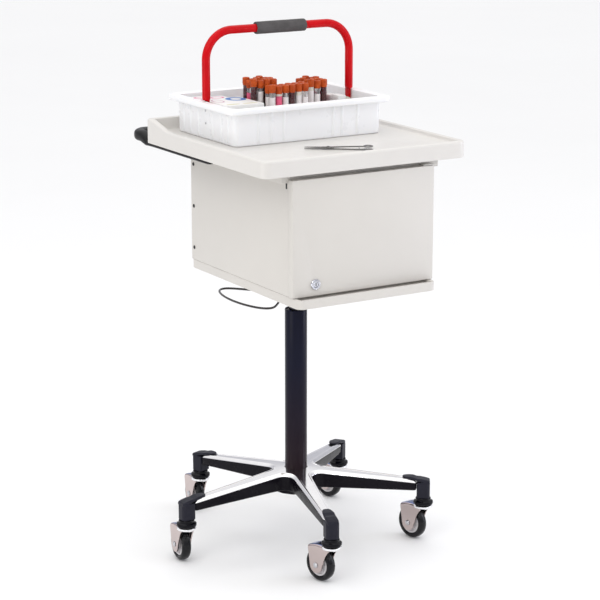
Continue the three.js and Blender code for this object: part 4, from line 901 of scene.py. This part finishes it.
# sample tubes: moulded cap with ribs, clear tube, paper label, dark contents
def tube(geo, x, y, top, seedn, kinds):
    z0 = 941.2
    ph = (seedn * 37 % 24) / 24
    cap = smooth_profile([(0, top - 2.2), (3.4, top - 2.2, 0.3), (3.9, top - 0.3, 0.4), (6.9, top, 0.6), (7.75, top - 1.2, 0.5), (7.9, top - 12.6, 0.4), (7.3, top - 13.6, 0.5), (7.3, top - 16.4, 0.3), (7.0, top - 17.2, 0.3), (0, top - 17.2)], n=2)
    ribs = lambda j, r, z: (-0.42 if (j % 4) >= 2 and r > 7.5 and z > top - 13 and z < top - 1 else 0.0)
    v, f = lathe(cap, 72, lambda p: (x + p[0], y + p[1], p[2]), phase=ph, flute=ribs)
    geo.add(v, f, 0)
    zb = top - 17.4
    lab = 5 + (seedn * 53 % 9)
    kind = kinds[seedn % 6]
    body = [(0, z0), (4.5, z0 + 0.6), (6.2, z0 + 3), (6.5, z0 + 8)]
    v, f = lathe(body + [(6.5, zb - lab - 30), (0, zb - lab - 30)], 28, lambda p: (x + p[0], y + p[1], p[2])); geo.add(v, f, 4)
    v, f = lathe(smooth_profile([(0, zb - lab - 29.7), (6.75, zb - lab - 29.7, 0.1), (6.75, zb - lab, 0.1), (0, zb - lab)], n=2), 28, lambda p: (x + p[0], y + p[1], p[2])); geo.add(v, f, kind)
    v, f = lathe([(0, zb - lab + 0.2), (6.5, zb - lab + 0.2), (6.5, zb), (0, zb)], 28, lambda p: (x + p[0], y + p[1], p[2])); geo.add(v, f, 4 if kind == 4 else (1 if seedn % 3 else 5))
def rows_of(x, y, nx, ny, h, drop):
    p = 16.6
    return [(x + i * p, y + j * p * 0.99, h - drop * ((i + j) % 2)) for j in range(ny) for i in range(nx)]
bundles = {1: rows_of(-71, 60, 4, 3, 1058, 3), 2: rows_of(-45, 24, 6, 2, 1047, 2), 3: rows_of(66, 46, 3, 4, 1049, 3)}
for k, spots in bundles.items():
    g = Geo()
    for i, (x, y, h) in enumerate(spots):
        tube(g, x, y, h - (i * 7 % 5) * 0.6, i * 5 + k * 11, {1: (4, 3, 4, 4, 2, 4), 2: (2, 4, 2, 3, 2, 2), 3: (2, 4, 2, 2, 3, 4)}[k])
    g.make(f"sample_tubes_{k}", "carry_tray", [M["cap"], M["tube_glass"], M["label"], M["pink"], M["serum"], M["cream"]], replaces=f"tube_bundle_{k}", slot="tube_caps", sharp=35, merge=False)

# cartons and packets
def print_material(name, base, marks, rough=0.5):
    """paper with soft printed ovals; marks are (x, y, half x, half y, ring width, colour) in millimetres"""
    m = finish_material(name, base, rough, var=0.03, var_scale=25, bump=0.2, bump_scale=900, bump_dist=0.0001)
    nt, b, col = parts_of(m)
    tc = nt.nodes.new("ShaderNodeTexCoord")
    for (mx_, my_, hx_, hy_, ringw, color) in marks:
        c = W((mx_, my_, 0))
        mp = nt.nodes.new("ShaderNodeMapping"); mp.vector_type = "POINT"
        mp.inputs["Location"].default_value = (-c[0] / (hx_ / 1000), -c[1] / (hy_ / 1000), 0)
        mp.inputs["Scale"].default_value = (1000 / hx_, 1000 / hy_, 0)
        nt.links.new(tc.outputs["Object"], mp.inputs[0])
        ln = nt.nodes.new("ShaderNodeVectorMath"); ln.operation = "LENGTH"
        nt.links.new(mp.outputs[0], ln.inputs[0])
        rp = nt.nodes.new("ShaderNodeValToRGB")
        e = rp.color_ramp.elements
        e[0].position, e[0].color = 0.0, (0, 0, 0, 1) if ringw > 0 else (1, 1, 1, 1)
        inner = max(0.02, 0.5 * (1 - ringw)) if ringw > 0 else 0.48
        e[1].position, e[1].color = min(inner + 0.02, 0.49), (1, 1, 1, 1)
        if ringw > 0:
            q = e.new(inner); q.color = (0, 0, 0, 1)
        q = e.new(0.5); q.color = (1, 1, 1, 1)
        q = e.new(0.52); q.color = (0, 0, 0, 1)
        hm = nt.nodes.new("ShaderNodeMath"); hm.operation = "MULTIPLY"; hm.inputs[1].default_value = 0.5
        nt.links.new(ln.outputs["Value"], hm.inputs[0]); nt.links.new(hm.outputs[0], rp.inputs[0])
        mx = nt.nodes.new("ShaderNodeMix"); mx.data_type = "RGBA"
        nt.links.new(rp.outputs[0], mx.inputs[0]); nt.links.new(col, mx.inputs[6]); mx.inputs[7].default_value = (*color, 1)
        col = mx.outputs[2]
    nt.links.new(col, b.inputs["Base Color"])
    return m

def carton(geo, x0, x1, y0, y1, z0, z1, mat=0, lid=True, skew=0.0, r=0.7):
    """folded carton with a tucked lid: the lid stands a little proud, with a seam under it"""
    c, s = math.cos(rad(skew)), math.sin(rad(skew))
    mx_, my_ = (x0 + x1) / 2, (y0 + y1) / 2
    def place(p):
        x, y = p[0] - mx_, p[1] - my_
        return (mx_ + c * x - s * y, my_ + s * x + c * y, p[2])
    o = lambda d: rounded(x0 + d, x1 - d, y0 + d, y1 - d, max(r, 0.3), 3)
    zs = [(0.8, z0), (0.2, z0 + 0.5), (0.2, z1 - 9.2), (0.75, z1 - 8.9), (0.75, z1 - 8.5), (0.0, z1 - 8.2), (0.0, z1 - 0.8), (0.3, z1 - 0.2), (1.0, z1)] if lid else [(0.8, z0), (0.0, z0 + 0.8), (0.0, z1 - 0.8), (0.8, z1)]
    v, f = loft([[(x, y, z) for x, y in o(d)] for d, z in zs])
    geo.add(v, f, mat, place)

def pouch(geo, cx, cy, hx, hy, z, t, mat, skew=0.0):
    """flat sealed packet: crimped flat edges and a low crowned middle"""
    nx, ny = 18, 12
    c, s = math.cos(rad(skew)), math.sin(rad(skew))
    top, bot = [], []
    for i in range(nx + 1):
        for j in range(ny + 1):
            u, w = i / nx * 2 - 1, j / ny * 2 - 1
            q = max(0.0, 1 - max(abs(u) * 1.12, abs(w) * 1.16) ** 6)
            h = t * q * (0.9 + 0.2 * noise.noise(Vector((u * 2 + cx, w * 2 + cy, z)))) + 0.25
            x, y = u * hx, w * hy
            top.append((cx + c * x - s * y, cy + s * x + c * y, z + h))
            bot.append((cx + c * x - s * y, cy + s * x + c * y, z))
    n = len(top)
    faces = []
    I = lambda i, j: i * (ny + 1) + j
    for i in range(nx):
        for j in range(ny):
            faces.append([I(i, j), I(i + 1, j), I(i + 1, j + 1), I(i, j + 1)])
            faces.append([n + I(i, j), n + I(i, j + 1), n + I(i + 1, j + 1), n + I(i + 1, j)])
    for i in range(nx):
        for j in (0, ny):
            faces.append([I(i, j), I(i + 1, j), n + I(i + 1, j), n + I(i, j)])
    for j in range(ny):
        for i in (0, nx):
            faces.append([I(i, j), I(i, j + 1), n + I(i, j + 1), n + I(i, j)])
    geo.add(top + bot, faces, mat)

PINK, BLUE = (0.62, 0.05, 0.22), (0.03, 0.16, 0.48)
swab = print_material("swab_carton_print", (0.78, 0.77, 0.765), [(-150, 156, 17, 13, 0.3, PINK), (-150, 124, 17, 11, 0.3, (0.60, 0.10, 0.25)), (-108, 158, 17, 12, 0.3, PINK), (-107, 124, 16, 12, 0.3, (0.45, 0.10, 0.30))])
wipe = print_material("wipe_carton_print", (0.80, 0.80, 0.78), [(-108, 74, 22, 24, 0.5, BLUE), (-157, 66, 12, 22, 0.25, (0.55, 0.35, 0.45)), (-150, 10, 16, 6, 0.0, (0.62, 0.60, 0.40)), (-110, 8, 18, 5, 0.0, (0.66, 0.64, 0.46))])
g = Geo()
zb = 940.7
carton(g, -176, -131, 103, 180, zb, 1010, 0)
carton(g, -129.5, -84, 103.5, 179.5, zb, 1007.0, 0)
g.make("swab_cartons", "carry_tray", [swab], replaces="swab_carton", slot="carton_paper", sharp=40)
g = Geo()
carton(g, -176, -84, -8, 100, zb, 1015, 0)
g.make("wipe_carton_box", "carry_tray", [wipe], replaces="wipe_carton", slot="carton_cream", sharp=40)
g = Geo()
carton(g, 118, 137, 14, 44, zb, 1012, 0)
carton(g, 118, 137, 46, 76, zb, 1009, 0)
carton(g, 139, 158, 14.5, 75.5, zb, 1002, 1)
pouch(g, 148.5, 45, 9, 28, 1002.2, 3.4, 1, -2)
g.make("bandage_carton_box", "carry_tray", [M["paper"], M["grey_pack"]], replaces="bandage_carton", slot="carton_paper", sharp=40)

# ---------------------------------------------------------------- haemostat
LX, LY, LA = 39.0, -229.0, rad(148)
def clamp_place(p):
    c, s = math.cos(LA), math.sin(LA)
    return (LX + c * p[0] - s * p[1], LY + s * p[0] + c * p[1], p[2])
def half_clamp(name, body, node, side, z0, z1, pin):
    zm, hz = (z0 + z1) / 2, (z1 - z0) / 2
    g = Geo()
    s = side
    # finger ring
    n = 40
    ringp = [(0 + 9.2 * math.cos(2 * math.pi * i / n), s * 12 + 9.2 * math.sin(2 * math.pi * i / n), zm) for i in range(n)]
    v, f = sweep(ringp, 1.75, hz * 0.96, sides=14, closed=True); g.add(v, f, 0, clamp_place)
    # shank from the ring to the screw, slightly waisted, then the jaw
    line = [(7.6, s * 9.6), (14, s * 9.2), (24, s * 8.3), (40, s * 6.2), (56, s * 3.8), (68, s * 2.0), (76, s * 0.6)]
    wd = [1.6, 1.9, 1.7, 1.6, 1.9, 2.6, 3.2]
    v, f = sweep([(x, y, zm) for x, y in line], wd, [hz * 0.8, hz * 0.95, hz, hz, hz, hz, hz], sides=14, power=3.0); g.add(v, f, 0, clamp_place)
    joint = [(72, s * 1.0), (78, 0), (84, 0), (90, 0), (96, -s * 0.2)]
    v, f = sweep([(x, y, zm) for x, y in joint], [3.2, 3.9, 4.1, 3.8, 3.0], [hz * 0.99] * 5, sides=14, power=4.0); g.add(v, f, 0, clamp_place)
    jaw = [(92, -s * 1.5), (104, -s * 1.35), (118, -s * 1.1), (130, -s * 0.9), (134, -s * 0.8)]
    v, f = sweep([(x, y, zm) for x, y in jaw], [2.3, 1.9, 1.5, 1.0, 0.6], [hz * 0.95, hz * 0.9, hz * 0.8, hz * 0.65, hz * 0.4], sides=14, power=3.0); g.add(v, f, 0, clamp_place)
    # serrations on the gripping side
    for i in range(16):
        x = 101 + i * 1.9
        v, f = loft([[(x, -s * 0.2, zm - hz * 0.7), (x + 0.7, -s * 0.2, zm - hz * 0.7), (x + 0.7, -s * 0.2, zm + hz * 0.7), (x, -s * 0.2, zm + hz * 0.7)],
                     [(x + 0.2, -s * 0.02, zm - hz * 0.6), (x + 0.5, -s * 0.02, zm - hz * 0.6), (x + 0.5, -s * 0.02, zm + hz * 0.6), (x + 0.2, -s * 0.02, zm + hz * 0.6)]])
        g.add(v, f, 0, clamp_place)
    # ratchet tooth bar
    v, f = sweep([(19, s * 8.8, zm), (19, s * 5.0, zm), (19, s * 1.6, zm)], 1.5, hz * 0.7, sides=10, power=4.0); g.add(v, f, 0, clamp_place)
    for i in range(3):
        v, f = lathe(smooth_profile([(0, zm - 0.5), (0.9, zm - 0.5, 0.2), (0.5, zm + hz * 0.9, 0.2), (0, zm + hz * 0.95)], n=2), 10, lambda p: clamp_place((19 + p[0], s * (2.2 + 1.2 * i) + p[1], p[2]))); g.add(v, f, 0)
    if pin:
        v, f = lathe(smooth_profile([(0, z0 + 0.4), (2.2, z0 + 0.4, 0.2), (2.2, z1 + 3.4, 0.2), (3.0, z1 + 3.4, 0.2), (3.0, z1 + 3.9, 0.3), (0.5, z1 + 4.3, 0.1), (0, z1 + 4.3)], n=3), 28, lambda p: clamp_place((84 + p[0], p[1], p[2]))); g.add(v, f, 0)
    g.make(name, body, [M["steel"]], replaces=node, slot="clamp_steel", sharp=40, merge=False)
half_clamp("clamp_half_lower", "clamp_lower", "haemostat_lower", 1, 936.3, 939.3, True)
half_clamp("clamp_half_upper", "clamp_upper", "haemostat_upper", -1, 939.6, 942.6, False)

# ------------------------------------------------------------ floor, lights
def plane(name, cx, cy, sx, sy, z):
    me = bpy.data.meshes.new(name)
    bm = bmesh.new()
    bmesh.ops.create_grid(bm, x_segments=8, y_segments=8, size=0.5)
    for q in bm.verts:
        q.co.x = cx + q.co.x * sx; q.co.y = cy + q.co.y * sy; q.co.z = z
    bm.to_mesh(me); bm.free()
    o = bpy.data.objects.new(name, me)
    bpy.context.scene.collection.objects.link(o)
    return o
floor = plane("floor", 0, 0, 60, 60, 0.0)
floor.data.materials.append(finish_material("floor_pale", (0.90, 0.90, 0.90), 0.6, var=0.01, var_scale=0.6, bump=0.05, bump_scale=40, spec=0.2))

world = bpy.data.worlds.new("studio")
bpy.context.scene.world = world
world.use_nodes = True
wn = world.node_tree
bg = wn.nodes["Background"] if "Background" in wn.nodes else wn.nodes.new("ShaderNodeBackground")
sky_tc = bpy.context.scene.world.node_tree.nodes.new("ShaderNodeTexCoord")
sky_sep = bpy.context.scene.world.node_tree.nodes.new("ShaderNodeSeparateXYZ")
sky_ramp = bpy.context.scene.world.node_tree.nodes.new("ShaderNodeValToRGB")
sl = bpy.context.scene.world.node_tree.links
sl.new(sky_tc.outputs["Generated"], sky_sep.inputs[0])
sl.new(sky_sep.outputs[2], sky_ramp.inputs[0])
se = sky_ramp.color_ramp.elements
se[0].position, se[0].color = 0.0, (0.36, 0.37, 0.42, 1)
se[1].position, se[1].color = 0.75, (1.0, 1.0, 1.0, 1)
sq = se.new(0.25); sq.color = (0.58, 0.58, 0.61, 1)
sl.new(sky_ramp.outputs[0], bg.inputs[0])
bg.inputs[1].default_value = 1.2

def area(name, loc, target, size, power, color=(1, 1, 1)):
    d = bpy.data.lights.new(name, "AREA")
    d.shape = "RECTANGLE"; d.size, d.size_y = size
    d.energy = power; d.color = color
    o = bpy.data.objects.new(name, d)
    bpy.context.scene.collection.objects.link(o)
    o.location = loc
    o.rotation_euler = (Vector(target) - Vector(loc)).to_track_quat("-Z", "Y").to_euler()
    return o
area("key", (-2.6, -1.6, 3.2), (0, 0, 0.7), (2.2, 2.2), 20, (1, 0.985, 0.96))
area("fill", (0.6, -3.6, 2.6), (0, 0, 0.6), (2.4, 2.4), 2, (0.97, 0.98, 1))
area("top", (0, 0.6, 3.6), (0, 0, 0.6), (3, 3), 14)
area("glint_a", (1.5, -2.8, 1.9), (0, 0, 0.3), (0.3, 0.3), 2.5)
area("glint_b", (-1.3, -3.0, 2.1), (0, 0, 0.3), (0.3, 0.3), 2.5)
area("low_left", (-2.7, -0.5, 0.5), (-0.15, 0, 0.78), (1.6, 1.2), 7.0, (1, 0.97, 0.93))
area("strip", (2.3, -1.3, 1.0), (0, 0, 0.45), (0.9, 2.2), 16, (0.84, 0.86, 1))
bpy.context.scene.view_settings.view_transform = "Standard"
